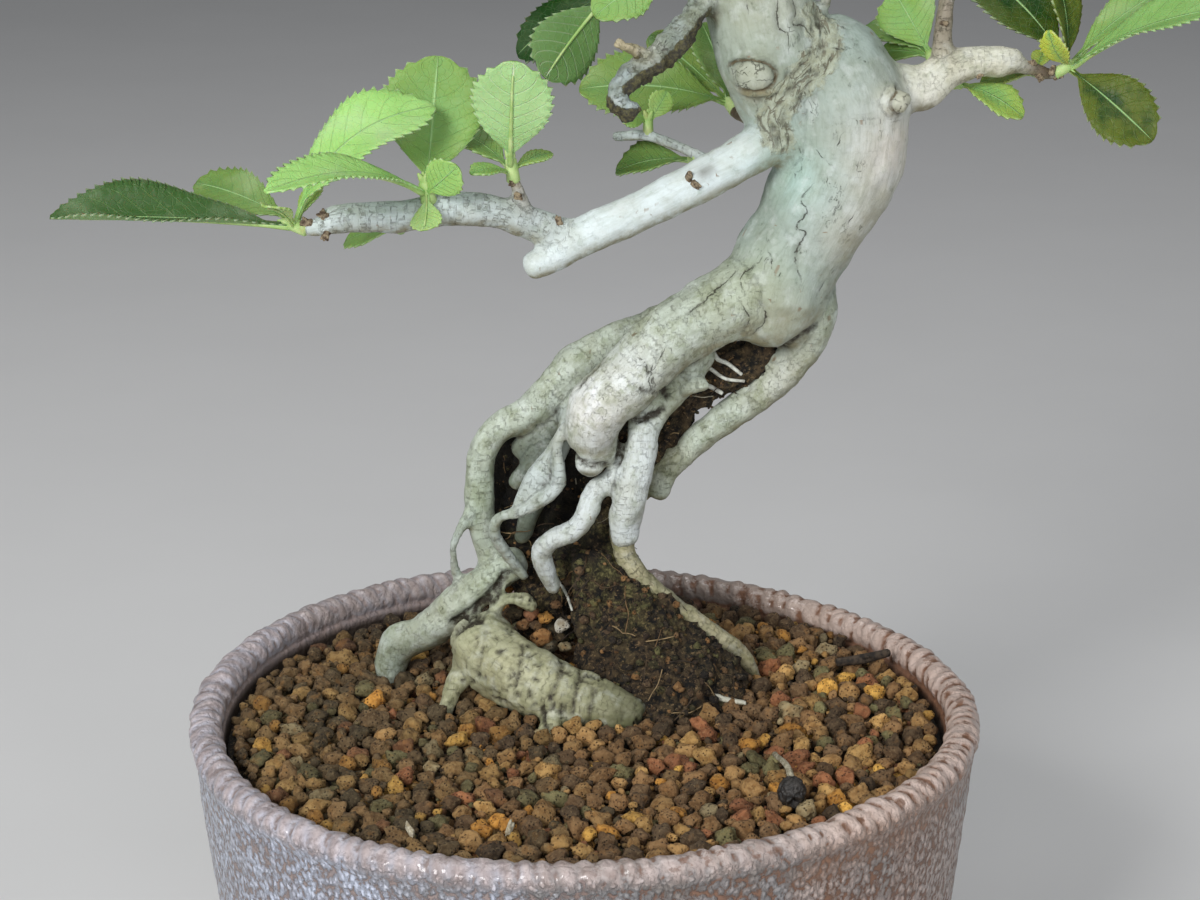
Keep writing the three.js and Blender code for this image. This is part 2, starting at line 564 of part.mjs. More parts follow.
// The pot: a lathed wall and rim, with an uneven skin of beads on the wall and slanted ridges on the rim.
function potSolid() {
  const rimMiddle = POT_RADIUS - RIM_TUBE;
  const wallTop = POT_HEIGHT - 2 * RIM_TUBE - 0.6;
  const wallRows = 7;
  const profile = [];
  profile.push(new THREE.Vector2(DRAIN_RADIUS, FOOT_HEIGHT));
  profile.push(new THREE.Vector2(BASE_RADIUS - 2, FOOT_HEIGHT));
  for (let row = 0; row <= wallRows; row += 1) {
    const share = row / wallRows;
    const height = THREE.MathUtils.lerp(FOOT_HEIGHT + 1.6, wallTop, share);
    const radius = THREE.MathUtils.lerp(BASE_RADIUS, POT_RADIUS - 1, share ** 0.9);
    profile.push(new THREE.Vector2(radius, height));
  }
  const firstRimPoint = profile.length;
  for (const degrees of [-20, 35, 90, 145, 190]) {
    const angle = THREE.MathUtils.degToRad(degrees);
    const height = POT_HEIGHT - RIM_TUBE + RIM_TUBE * Math.sin(angle);
    profile.push(new THREE.Vector2(rimMiddle + RIM_TUBE * Math.cos(angle), height));
  }
  profile.push(new THREE.Vector2(POT_RADIUS - WALL_THICKNESS - 1.2, SOIL_TOP - 4));
  profile.push(new THREE.Vector2(BASE_RADIUS - WALL_THICKNESS, FLOOR_TOP + 4));
  profile.push(new THREE.Vector2(BASE_RADIUS - WALL_THICKNESS - 4, FLOOR_TOP));
  profile.push(new THREE.Vector2(DRAIN_RADIUS, FLOOR_TOP));
  profile.push(profile[0].clone());

  const geometry = new THREE.LatheGeometry(profile, POT_COLUMNS);
  geometry.rotateX(Math.PI / 2);
  const random = randomFrom(5);
  const wobble = Array.from({ length: POT_COLUMNS * profile.length }, () => random() - 0.5);
  const position = geometry.attributes.position;
  for (let i = 0; i < position.count; i += 1) {
    const row = i % profile.length;
    const column = Math.floor(i / profile.length) % POT_COLUMNS;
    const x = position.getX(i);
    const y = position.getY(i);
    const turn = Math.atan2(y, x);
    const onWall = row > 2 && row < firstRimPoint;
    const onRim = row >= firstRimPoint && row < firstRimPoint + 4;
    const ridge = column % 2 === 0 ? 1 : -1;
    const lift = onWall ? BEAD_HEIGHT * (2 * wobble[column * profile.length + row] - 1) : 0;
    const swell = onRim ? 0.35 * ridge * (row < firstRimPoint + 2 ? 1 : -1) : 0;
    const radius = Math.hypot(x, y) + lift + swell;
    const slant = onRim ? (0.4 * Math.PI * (row - firstRimPoint)) / POT_COLUMNS : 0;
    const wave = row >= firstRimPoint - 1 && row <= firstRimPoint + 4 ? -RIM_WAVE * Math.sin(2 * turn) : 0;
    const direction = turn + slant;
    position.setXYZ(i, radius * Math.cos(direction), radius * Math.sin(direction), position.getZ(i) + wave);
  }
  return solidFrom(geometry);
}

// Three plain feet: blocks cut from a ring by three gaps.
function potWithFeet() {
  const outer = new THREE.CylinderGeometry(52, 50, FOOT_HEIGHT + 1, 36).rotateX(Math.PI / 2);
  const inner = new THREE.CylinderGeometry(42, 42, FOOT_HEIGHT + 4, 36).rotateX(Math.PI / 2);
  outer.translate(0, 0, (FOOT_HEIGHT + 1) / 2);
  inner.translate(0, 0, FOOT_HEIGHT / 2);
  let feet = solidFrom(outer).subtract(solidFrom(inner));
  for (const degrees of [90, 210, 330]) {
    const gap = new THREE.BoxGeometry(70, 62, FOOT_HEIGHT + 4);
    gap.translate(49, 0, FOOT_HEIGHT / 2).rotateZ(THREE.MathUtils.degToRad(degrees));
    feet = feet.subtract(solidFrom(gap));
  }
  return potSolid().add(feet);
}

// A perforated square of plastic mesh over the drain hole.
function drainMesh() {
  const size = 20;
  const pitch = 8;
  let plate = solidFrom(new THREE.BoxGeometry(size, size, 1).translate(0, 0, FLOOR_TOP + GAP + 0.5));
  for (const column of [-0.5, 0.5]) {
    for (const row of [-0.5, 0.5]) {
      const hole = new THREE.BoxGeometry(pitch * 0.7, pitch * 0.7, 4);
      plate = plate.subtract(solidFrom(hole.translate(column * pitch, row * pitch, FLOOR_TOP + 0.5)));
    }
  }
  return plate;
}

// The soil: a filled bed whose top is covered with grains. On a lattice of triangles, every third point is
// the top of a grain and the six points round it are low.
function soilBed() {
  const random = randomFrom(29);
  const rowHeight = GRAIN_SPACING * Math.sqrt(3) / 2;
  const rows = Math.ceil((2 * POT_RADIUS) / rowHeight);
  const columns = Math.ceil((2 * POT_RADIUS) / GRAIN_SPACING + rows / 2);
  const grid = new THREE.BoxGeometry(1, 1, 1, columns, rows, 1);
  const position = grid.attributes.position;
  const heights = new Map();
  for (let i = 0; i < position.count; i += 1) {
    const column = Math.round((position.getX(i) + 0.5) * columns);
    const row = Math.round((position.getY(i) + 0.5) * rows);
    const key = column + row * (columns + 1);
    if (!heights.has(key)) {
      const grain = (column + row) % 3 === 0;
      const lift = grain ? 0.4 + 1.3 * random() : -1.1 - 0.5 * random();
      heights.set(key, [lift, (random() - 0.5) * 1.2, (random() - 0.5) * 1.2]);
    }
    const [lift, jitterX, jitterY] = heights.get(key);
    const x = (column - columns / 2 - (row - rows / 2) / 2) * GRAIN_SPACING + jitterX;
    const y = (row - rows / 2) * rowHeight + jitterY;
    const heap = 1.6 * Math.exp(-(((x - 5) / 32) ** 2) - ((y - 12) / 26) ** 2);
    position.setXYZ(i, x, y, position.getZ(i) > 0 ? SOIL_TOP + lift + heap : FLOOR_TOP - 4);
  }
  const sideTop = POT_RADIUS - WALL_THICKNESS - 1.2 - GAP;
  const sideBottom = BASE_RADIUS - WALL_THICKNESS - GAP;
  const underside = FLOOR_TOP + GAP;
  const outline = [[0, underside], [sideBottom - 4, underside], [sideBottom, underside + 4],
    [sideTop, SOIL_TOP - 4], [sideTop + 0.6, SOIL_TOP + 8], [0, SOIL_TOP + 8]];
  const profile = outline.map(([radius, height]) => new THREE.Vector2(radius, height));
  const fill = new THREE.LatheGeometry(profile, 36).rotateX(Math.PI / 2);
  return solidFrom(grid).intersect(solidFrom(fill));
}

// Small things that lie on the soil.
const FRUIT = { middle: [32, -34.5, 60.6], radius: 2.3 };
const FRUIT_STALK = [[32, -34.5, 61.5, 0.7], [31.5, -31.5, 63.6, 0.5], [30, -25, 62.6, 0.45],
  [30.4, -19.5, 60.4, 0.4]];
const FALLEN_TWIG = [[43.5, 21, 59.6, 0.7], [48, 21.6, 60, 0.9], [52.5, 23.4, 60.4, 0.7]];
const PALE_GRAIN = { middle: [-4, 30, 61], radius: 1.5 };

function ball({ middle, radius }, fatter, detail = 1) {
  return solidFrom(new THREE.IcosahedronGeometry(radius + fatter, detail).translate(...middle));
}

function driedFruit(fatter) {
  const stalk = limbGeometry(FRUIT_STALK, { sides: 5, step: 4, rough: 0, fatter });
  return ball(FRUIT, fatter).add(solidFrom(stalk));
}

function fallenTwig(fatter) {
  return solidFrom(limbGeometry(FALLEN_TWIG, { sides: 5, step: 4, fatter }));
}

// Materials
function material(color, roughness) {
  return new THREE.MeshStandardMaterial({ color, roughness, metalness: 0 });
}

const GLAZE = material(0x9a8785, 0.45);
const EARTH_BROWN = material(0x3a2c20, 0.95);
const GRAIN_BROWN = material(0x7a5736, 0.95);
const BARK = material(0xb9bba8, 0.7);
const LEAF_GREEN = material(0x7fb341, 0.5);
const MESH_BLACK = material(0x202020, 0.6);
const FRUIT_BLACK = material(0x1d1b1a, 0.8);
const PUMICE = material(0xcfc8b4, 0.9);

// Assembly
const wood = limbs(WOOD, 0);
const woodWithGap = limbs(WOOD, GAP);
const earth = largestBody(limbs(EARTH, 0).subtract(woodWithGap));
const earthWithGap = limbs(EARTH, 2 * GAP);
const paleGrain = ball(PALE_GRAIN, 0, 0);

const group = new THREE.Group();
group.name = 'oriental_photinia_bonsai';

function addNode(name, solid, finish) {
  const mesh = new THREE.Mesh(geometryFrom(solid), finish);
  mesh.name = name;
  group.add(mesh);
}

const soil = soilBed()
  .subtract(woodWithGap)
  .subtract(earthWithGap)
  .subtract(driedFruit(GAP))
  .subtract(fallenTwig(GAP))
  .subtract(ball(PALE_GRAIN, GAP, 0))
  .subtract(solidFrom(new THREE.BoxGeometry(20.6, 20.6, 3).translate(0, 0, FLOOR_TOP + GAP)));

addNode('pot', potWithFeet(), GLAZE);
addNode('drain_mesh', drainMesh(), MESH_BLACK);
addNode('soil', largestBody(soil), GRAIN_BROWN);
addNode('old_root_ball', earth, EARTH_BROWN);
addNode('wood', wood, BARK);
addNode('dried_fruit', driedFruit(0), FRUIT_BLACK);
addNode('fallen_twig', fallenTwig(0), FRUIT_BLACK);
addNode('pale_grain', paleGrain, PUMICE);
for (const [name, spray] of Object.entries(SPRAYS)) {
  addNode(name, sprayOf(spray, woodWithGap), LEAF_GREEN);
}
for (const [name, spray] of Object.entries(CROWN_SPRAYS)) {
  addNode(name, sprayOf(crownSpray(spray), woodWithGap), LEAF_GREEN);
}

export default group;
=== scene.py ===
import math
import random

import bmesh
import bpy
import numpy as np
from mathutils import Matrix, Quaternion, Vector, noise


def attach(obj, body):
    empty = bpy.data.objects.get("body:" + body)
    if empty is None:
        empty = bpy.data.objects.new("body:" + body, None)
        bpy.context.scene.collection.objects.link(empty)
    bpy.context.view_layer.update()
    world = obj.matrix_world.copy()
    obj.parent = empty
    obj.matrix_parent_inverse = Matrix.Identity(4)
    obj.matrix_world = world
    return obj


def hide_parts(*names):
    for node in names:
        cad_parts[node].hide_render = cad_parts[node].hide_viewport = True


# Oriental photinia bonsai. Sizes are in millimetres, +Z up, with the pot's axis at x = y = 0 and the table at
# z = 0, and a mesh is turned into metres when it is made. Colours are red, green and blue from 0 to 255.

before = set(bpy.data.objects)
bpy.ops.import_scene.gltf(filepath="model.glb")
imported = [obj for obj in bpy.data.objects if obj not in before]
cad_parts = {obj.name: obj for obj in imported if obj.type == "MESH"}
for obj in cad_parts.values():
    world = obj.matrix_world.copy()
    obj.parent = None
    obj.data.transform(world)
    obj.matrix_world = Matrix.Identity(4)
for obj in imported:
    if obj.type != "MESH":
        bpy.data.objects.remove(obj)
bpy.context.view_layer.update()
MM = 0.001
FULL_TURN = 2 * math.pi

# Driving sizes, the same as those of the solids
POT_RADIUS = 65
POT_HEIGHT = 62
FOOT_HEIGHT = 5
FLOOR_TOP = 10
BASE_RADIUS = 58.5
WALL_THICKNESS = 5.3
RIM_TUBE = 2.7
RIM_WAVE = 1.1
RIM_RIDGES = 124
DRAIN_RADIUS = 7
SOIL_TOP = 57.6
SOIL_RADIUS = 58.3
BLADE_THICKNESS = 0.35

# Leaf veins: how many on each side, and the power by which they bend towards the tip
SIDE_VEINS = 9
VEIN_BEND = 1.35

# Sizes of the voxels that grow the skin of the wood and of the root ball
WOOD_VOXEL = 0.525
PEAT_VOXEL = 0.62

# How far the rounded end of a tube stands out, in radii
END_BULGE = 0.45

# Seeds of what is strewn, and the numbers that make the crown's next seeded number out of the last one
SEEDS = {"buds": 19, "grains": 41, "rootlets": 8, "crumbs": 23}
SEED_FACTOR = 1664525
SEED_STEP = 1013904223
SEED_RANGE = 2 ** 32


class Shape:
    """Vertices and faces gathered from several parts, with traits, the values that the materials read."""

    def __init__(self):
        self.vertices, self.faces, self.slots = [], [], []
        self.traits = {}
        self.count = 0

    def add(self, vertices, faces, slots=0, **traits):
        """Adds a part. slots is one material slot, or one for each face, and a trait has one value for the
        whole part or one for each vertex."""
        count = len(vertices)
        self.vertices.append(np.asarray(vertices, float))
        self.faces += [[corner + self.count for corner in face] for face in faces]
        self.slots += slots if isinstance(slots, list) else [slots] * len(faces)
        for name, value in traits.items():
            value = np.asarray(value, float)
            rows = value if value.ndim and len(value) == count else np.tile(value, (count, 1))
            self.traits.setdefault(name, []).append(rows.reshape(count, -1))
        self.count += count

    def make(self, name, *materials):
        mesh = bpy.data.meshes.new(name)
        mesh.from_pydata((np.concatenate(self.vertices) * MM).tolist(), [], self.faces)
        for material in materials:
            mesh.materials.append(material)
        mesh.polygons.foreach_set("material_index", self.slots)
        mesh.polygons.foreach_set("use_smooth", [True] * len(self.faces))
        for trait, parts in self.traits.items():
            values = np.concatenate(parts)
            kind, field = ("FLOAT", "value") if values.shape[1] == 1 else ("FLOAT_VECTOR", "vector")
            mesh.attributes.new(trait, kind, "POINT").data.foreach_set(field, values.ravel())
        mesh.update()
        return link(bpy.data.objects.new(name, mesh))

    def settle(self, name, slot, node, *materials):
        """Makes the finished piece, fixes it to the part's one body and hides the part's solid that it stands
        for.
        """
        piece = self.make(name, *materials)
        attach(piece, "root")
        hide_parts(node)


def link(thing):
    bpy.context.scene.collection.objects.link(thing)
    return thing


def srgb(colour):
    """A colour of 0..255, as the eye sees it, in the renderer's linear numbers."""
    shares = [channel / 255 for channel in colour]
    return tuple(c / 12.92 if c <= 0.04045 else ((c + 0.055) / 1.055) ** 2.4 for c in shares)


def smooth_step(low, high, value):
    """Goes smoothly from 0 at low to 1 at high."""
    share = np.clip((value - low) / (high - low), 0, 1)
    return share * share * (3 - 2 * share)


def noise_at(points, scale, seed, octaves=2):
    """Perlin noise, about -1..1, at each of many points."""
    offset = Vector((seed * 17.3, seed * 5.1, -seed * 9.7))
    return np.array([noise.fractal(Vector(p) * scale + offset, 0.9, 2.0, octaves) for p in points])


def random_from(seed):
    """The same seeded numbers that place the crown's leaves in the solids."""
    state = [seed]

    def draw():
        state[0] = (state[0] * SEED_FACTOR + SEED_STEP) % SEED_RANGE
        return state[0] / SEED_RANGE
    return draw


def random_way(draw, spread=1.0):
    """A vector that points anywhere."""
    return Vector([draw.gauss(0, spread) for _ in range(3)])


def three(draw, low, high):
    """Three seeded numbers between low and high."""
    return [draw.uniform(low, high) for _ in range(3)]


def quads(rows, columns, start=0, round_rows=False, round_columns=True):
    """Faces between the rows of a grid of vertices, which may close on itself in either way."""
    faces = []
    for row in range(rows if round_rows else rows - 1):
        here, there = start + row * columns, start + (row + 1) % rows * columns
        for k in range(columns if round_columns else columns - 1):
            after = (k + 1) % columns
            faces.append((here + k, there + k, there + after, here + after))
    return faces


def flipped(faces):
    """The same faces of four corners, looking the other way."""
    return [(a, d, c, b) for a, b, c, d in faces]


def ball(level):
    """Vertices and faces of a ball of diameter 1."""
    made = bmesh.new()
    bmesh.ops.create_icosphere(made, subdivisions=level, radius=0.5)
    vertices = [vertex.co.copy() for vertex in made.verts]
    faces = [tuple(vertex.index for vertex in face.verts) for face in made.faces]
    made.free()
    return vertices, faces


# Tubes along smooth curves

def sample_path(points, step):
    """Places, radii and distances along a smooth curve through points of (x, y, z, radius)."""
    points = np.asarray(points, float)
    knots = points[:, :3]
    ring = np.vstack([2 * knots[0] - knots[1], knots, 2 * knots[-1] - knots[-2]])
    places, radii = [], []
    for i in range(len(knots) - 1):
        a, b, c, d = ring[i:i + 4]
        before, here, after = (max(np.linalg.norm(q - p) ** 0.5, 1e-4) for p, q in ((a, b), (b, c), (c, d)))
        leave = ((b - a) / before - (c - a) / (before + here) + (c - b) / here) * here
        arrive = ((c - b) / here - (d - b) / (here + after) + (d - c) / after) * here
        for share in np.linspace(0, 1, 16, endpoint=False):
            squared, cubed = share ** 2, share ** 3
            places.append((2 * cubed - 3 * squared + 1) * b + (cubed - 2 * squared + share) * leave
                          + (3 * squared - 2 * cubed) * c + (cubed - squared) * arrive)
            radii.append(points[i, 3] + (points[i + 1, 3] - points[i, 3]) * share)
    places = np.array(places + [knots[-1]])
    radii = np.array(radii + [points[-1, 3]])
    gone = np.concatenate([[0], np.cumsum(np.linalg.norm(np.diff(places, axis=0), axis=1))])
    along = np.linspace(0, gone[-1], max(3, round(gone[-1] / step) + 1))
    even = np.stack([np.interp(along, gone, places[:, axis]) for axis in range(3)], axis=1)
    return even, np.interp(along, gone, radii), along


def directions(places):
    """Tangent, normal and binormal at each place of a path, turning as little as they can."""
    tangents = np.gradient(places, axis=0)
    tangents /= np.linalg.norm(tangents, axis=1)[:, None]
    start = (0, 0, 1.0) if abs(tangents[0][2]) < 0.8 else (1.0, 0, 0)
    normals = [np.cross(tangents[0], start)]
    for tangent in tangents:
        normal = normals[-1] - tangent * (normals[-1] @ tangent)
        normals.append(normal / np.linalg.norm(normal))
    normals = np.array(normals[1:])
    return tangents, normals, np.cross(tangents, normals)


def tube(points, step, sides):
    """A closed tube along a path of (x, y, z, radius), with rounded ends."""
    places, radii, _ = sample_path(points, step)
    tangents, normals, binormals = directions(places)
    caps = {end: tangents[end] * radii[end] * END_BULGE for end in (0, -1)}
    rings = [(places[0] - caps[0] * (1 - share ** 2) ** 0.5, radii[0] * share, 0) for share in (0.35, 0.75)]
    rings += [(places[i], radii[i], i) for i in range(len(places))]
    rings += [(places[-1] + caps[-1] * (1 - share ** 2) ** 0.5, radii[-1] * share, -1)
              for share in (0.75, 0.35)]
    angles = np.linspace(0, FULL_TURN, sides, endpoint=False)
    vertices = []
    for middle, radius, i in rings:
        out = np.outer(np.cos(angles), normals[i]) + np.outer(np.sin(angles), binormals[i])
        vertices.extend(middle + radius * out)
    faces = flipped(quads(len(rings), sides))
    first, top = len(vertices), len(vertices) - sides
    for k in range(sides):
        faces.append(((k + 1) % sides, k, first))
        faces.append((top + k, top + (k + 1) % sides, first + 1))
    return vertices + [places[0] - caps[0], places[-1] + caps[-1]], faces


def remeshed(shape, voxel):
    """One skin round everything in a shape: its vertices, faces and edges."""
    rough = shape.make("rough")
    skin = rough.modifiers.new("skin", "REMESH")
    skin.mode = "VOXEL"
    skin.voxel_size = voxel * MM
    evaluated = rough.evaluated_get(bpy.context.evaluated_depsgraph_get())
    mesh = evaluated.to_mesh()
    vertices = np.empty(len(mesh.vertices) * 3)
    mesh.vertices.foreach_get("co", vertices)
    faces = [tuple(face.vertices) for face in mesh.polygons]
    edges = np.empty(len(mesh.edges) * 2, int)
    mesh.edges.foreach_get("vertices", edges)
    evaluated.to_mesh_clear()
    old = rough.data
    bpy.data.objects.remove(rough)
    bpy.data.meshes.remove(old)
    return vertices.reshape(-1, 3) / MM, faces, edges.reshape(-1, 2)


def relaxed(values, edges, times, share=0.5):
    """Values at vertices, drawn towards the mean of their neighbours."""
    values = np.array(values, float).reshape(len(values), -1)
    ends = np.concatenate([edges[:, 0], edges[:, 1]])
    others = np.concatenate([edges[:, 1], edges[:, 0]])
    neighbours = np.bincount(ends, minlength=len(values))[:, None]
    for _ in range(times):
        total = np.stack([np.bincount(ends, column[others], len(values)) for column in values.T], axis=1)
        values = values + share * (total / neighbours - values)
    return values


def normals_of(vertices, faces):
    """Vertex normals of a mesh of quads and triangles."""
    corners = np.array([face if len(face) == 4 else (*face, face[2]) for face in faces])
    a, b, c, d = (vertices[corners[:, k]] for k in range(4))
    flat = np.cross(c - a, d - b)
    total = np.stack([sum(np.bincount(corners[:, k], flat[:, axis], len(vertices)) for k in range(3))
                      for axis in range(3)], axis=1)
    return total / np.maximum(np.linalg.norm(total, axis=1)[:, None], 1e-12)


# Materials

class Value:
    """What comes out of a node, which is added, subtracted and multiplied like a number."""

    def __init__(self, graph, socket):
        self.graph, self.socket = graph, socket

    def __add__(self, other):
        return self.graph.math("ADD", self, other)

    def __sub__(self, other):
        return self.graph.math("SUBTRACT", self, other)

    def __mul__(self, other):
        return self.graph.math("MULTIPLY", self, other)

    def __abs__(self):
        return self.graph.math("ABSOLUTE", self)


class Graph:
    """One material, with short names for its nodes. Lengths given to it are in millimetres."""

    def __init__(self, name, **settings):
        self.material = bpy.data.materials.new(name)
        self.material.use_nodes = True
        self.tree = self.material.node_tree
        self.shader = self.tree.nodes["Principled BSDF"]
        self.place = self.node("ShaderNodeTexCoord", "Object")
        for socket, value in settings.items():
            self.set(socket, value)

    def set(self, socket, value):
        self.feed(self.shader.inputs[socket.replace("_", " ")], value)

    def feed(self, socket, value):
        """Gives a socket another node's value, a colour, or a plain number or vector."""
        if isinstance(value, Value):
            self.tree.links.new(value.socket, socket)
        elif socket.type == "RGBA":
            socket.default_value = (*srgb(value), 1)
        else:
            socket.default_value = value

    def node(self, kind, output, settings=(), values=(), **named):
        """One output of a new node, or all of them if output is None. values go to its sockets in order."""
        made = self.tree.nodes.new(kind)
        for name, value in dict(settings).items():
            setattr(made, name, value)
        sockets = dict(enumerate(values)) if isinstance(values, tuple) else values
        for number, value in sockets.items():
            self.feed(made.inputs[number], value)
        for name, value in named.items():
            self.feed(made.inputs[name.replace("_", " ")], value)
        if output is None:
            return [Value(self, socket) for socket in made.outputs]
        return Value(self, made.outputs[output])

    def trait(self, name, output="Fac"):
        return self.node("ShaderNodeAttribute", output, {"attribute_name": name})

    def split(self, vector):
        return self.node("ShaderNodeSeparateXYZ", None, Vector=vector)

    def noise(self, size, detail=3.0, roughness=0.55, vector=None, distortion=0.0, output="Fac"):
        return self.node("ShaderNodeTexNoise", output, Vector=vector or self.place, Scale=1 / (size * MM),
                         Detail=detail, Roughness=roughness, Distortion=distortion)

    def wobble(self, amount, *grain):
        """Noise round zero. grain holds what noise is given, its size first."""
        return (self.noise(*grain) - 0.5) * amount

    def patches(self, grain, *limits):
        """Soft-edged patches: noise of the given grain, cut by the limits that band takes."""
        return self.band(self.noise(*grain), *limits)

    def cells(self, size, vector=None, feature="F1"):
        return self.node("ShaderNodeTexVoronoi", "Distance", {"feature": feature},
                         Vector=vector or self.place, Scale=1 / (size * MM))

    def stretched(self, vector, *scale):
        return self.node("ShaderNodeVectorMath", 0, {"operation": "MULTIPLY"}, (vector, scale))

    def math(self, operation, *values):
        return self.node("ShaderNodeMath", 0, {"operation": operation}, values)

    def highest(self, a, b):
        return self.math("MAXIMUM", a, b)

    def band(self, value, low, high, to_low=0.0, to_high=1.0):
        """Goes smoothly from to_low, where the value is low, to to_high, where it is high."""
        return self.node("ShaderNodeMapRange", 0, {"interpolation_type": "SMOOTHSTEP"}, Value=value,
                         From_Min=low, From_Max=high, To_Min=to_low, To_Max=to_high)

    def lines(self, value, width, core=0.0):
        """Thin lines where the value passes one half."""
        return self.band(abs(value - 0.5), core, width, 1.0, 0.0)

    def mix(self, share, a, b, blend="MIX"):
        settings = {"data_type": "RGBA", "blend_type": blend}
        return self.node("ShaderNodeMix", 2, settings, {0: share, 6: a, 7: b})

    def coated(self, colour, *coats):
        """A colour under coats of (share, colour) or (share, colour, blend), the last one on top."""
        for share, coat, *blend in coats:
            colour = self.mix(share, colour, coat, *blend)
        return colour

    def bump(self, height, depth, strength=1.0, **after):
        return self.node("ShaderNodeBump", "Normal", Height=height, Distance=depth * MM, Strength=strength,
                         **after)


def bark_material():
    """Smooth pale bark: the limb's own tone, soft mottling, pores and cracks, dirty patches, moss and healed
    cuts, with painted shade in hollows, creases, seams and crevices.
    """
    g = Graph("photinia_bark")
    limb, grime = g.trait("limb", "Vector"), g.trait("grime")
    fine = g.noise(0.9, 5, 0.65)
    fibre = g.noise(1.1, 5, 0.62, g.stretched(limb, 1.4, 1.4, 0.3), 0.4)
    pore = g.band(g.cells(3.6, g.stretched(limb, 1, 1, 1.6)), 0.06, 0.13, 1.0, 0.0)
    pore = pore * g.patches((5, 2), 0.42, 0.56)
    under = g.trait("under") * g.patches((2.6, 5, 0.65), 0.36, 0.6, 0.25, 0.9)
    cross = g.noise(1.7, 5, 0.62, g.stretched(limb, 0.4, 0.4, 1.5), 0.7)
    wrinkle = g.lines(cross, 0.03) * g.trait("wrinkles") * g.band(fine, 0.35, 0.6)
    colour = g.coated(
        g.trait("tone", "Color"),
        (g.patches((6.5, 4, 0.6), 0.38, 0.66, 0.0, 0.6), (230, 226, 214), "MULTIPLY"),
        (g.patches((3.1, 4, 0.6), 0.5, 0.68, 0.0, 0.25), (222, 228, 228)),
        (g.patches((2.1, 5, 0.7), 0.55, 0.75, 0.0, 0.5), (196, 206, 192), "MULTIPLY"),
        (g.band(fibre, 0.42, 0.72, 0.0, 0.45), (206, 208, 198), "MULTIPLY"),
        (pore * 0.75, (134, 112, 88)),
        (under, g.mix(fine, (110, 102, 72), (152, 144, 112))),
        (grime * g.patches((4.2, 5, 0.68), 0.47, 0.62) * 0.65, (182, 184, 146), "MULTIPLY"),
        (grime * g.patches((0.75, 5, 0.75), 0.58, 0.7) * 0.6, (96, 92, 66)),
        (wrinkle * 0.6, (92, 84, 64)),
        (g.trait("moss") * g.patches((2.4, 6, 0.7), 0.42, 0.6), g.mix(fine, (64, 70, 38), (122, 124, 84))),
    )
    # Healed ridges of the callus, which run along it, with ochre furrows and a ragged edge, and rotten wood
    across, along, inside = g.split(g.trait("callus", "Vector"))
    rough = g.band(inside + g.wobble(2.0, 1.6, 5, 0.65), 0.3, 0.75)
    ridge_place = g.node("ShaderNodeCombineXYZ", 0, X=across, Y=along * 0.4)
    furrow = g.lines(g.noise(1.5, 4, 0.6, ridge_place, 0.6), 0.042, 0.005) * g.patches((2.2, 3), 0.4, 0.52)
    crumb = g.mix(g.patches((1.1, 5, 0.7), 0.36, 0.62), (158, 158, 128), (184, 190, 168))
    crumb = g.mix(furrow * 0.9, crumb, g.mix(fine, (62, 46, 24), (128, 102, 54)))
    rotten = g.band(g.trait("rot") + g.wobble(1.1, 1.8, 5, 0.7), 0.4, 0.62)
    rot_tone = g.mix(g.patches((0.9, 5, 0.7), 0.4, 0.66), (44, 36, 24), (112, 106, 62))
    # Cut faces: a dark torn ring, and a paler middle with cracks that run out from its centre
    across, up, facing = g.split(g.trait("cut", "Vector"))
    ring = g.math("SQRT", across * across + up * up) + g.wobble(0.34, 1.5, 4, 0.6)
    spoke = g.math("FRACT", g.math("ARCTAN2", up, across) * 0.64 + g.noise(1.6, 3) * 1.5)
    spoke = g.lines(spoke, 0.045) * g.band(ring, 0.1, 0.3, 0.0, 0.7) * g.band(ring, 1.1, 0.9)
    torn = g.band(abs(ring - 1.0), 0.02, 0.11, 1.0, 0.0) * facing
    # Cracks: the ones that have their own lines, and short ones along the limb
    gap = abs(g.trait("crack_gap") + g.wobble(3.0, 0.8, 4, 0.65)) + g.noise(0.7, 3) * 0.5
    crack = g.band(gap, 0.25, 0.7, 1.0, 0.0) * g.trait("crack_open")
    crack = crack * g.patches((1.7, 3, 0.6), 0.4, 0.52, 0.1, 1.0)
    line = g.lines(g.noise(2.1, 5, 0.6, g.stretched(limb, 1.3, 1.3, 0.5), 0.8), 0.009)
    line = line * g.patches((4.2, 3, 0.6), 0.58, 0.66) * g.trait("cracks")
    crack = g.highest(g.highest(crack, line * 0.8), spoke * facing)
    colour = g.coated(
        colour,
        (rough * 0.66, crumb),
        (rotten * 0.92, rot_tone),
        (g.band(ring, 0.95, 0.8) * (facing * 0.5), (176, 178, 160)),
        # Painted shade: near-black brown where the bark is sunken, in creases, at seams and in crevices.
        (g.trait("hollow") * g.patches((1.3, 5, 0.65), 0.3, 0.6, 0.35, 1.0), (50, 44, 32)),
        (torn * g.patches((1.5, 3, 0.6), 0.38, 0.58, 0.3, 0.9), (92, 78, 52)),
        (crack * 0.9, (58, 50, 38)),
    )
    g.set("Base_Color", colour)
    g.set("Roughness", g.patches((1.4, 3), 0.3, 0.7, 0.5, 0.75))
    shaggy = g.highest(rough * 0.3, rotten) * g.noise(0.8, 6, 0.75)
    height = fine * 0.3 - crack - wrinkle * 0.55 - torn * 0.4 + fibre * 0.3
    height = height - rough * furrow * 0.7 + shaggy * 2.6
    g.set("Normal", g.bump(height, 0.34, 0.85, Normal=g.bump(g.noise(3.2, 3), 0.3, 0.4)))
    return g.material


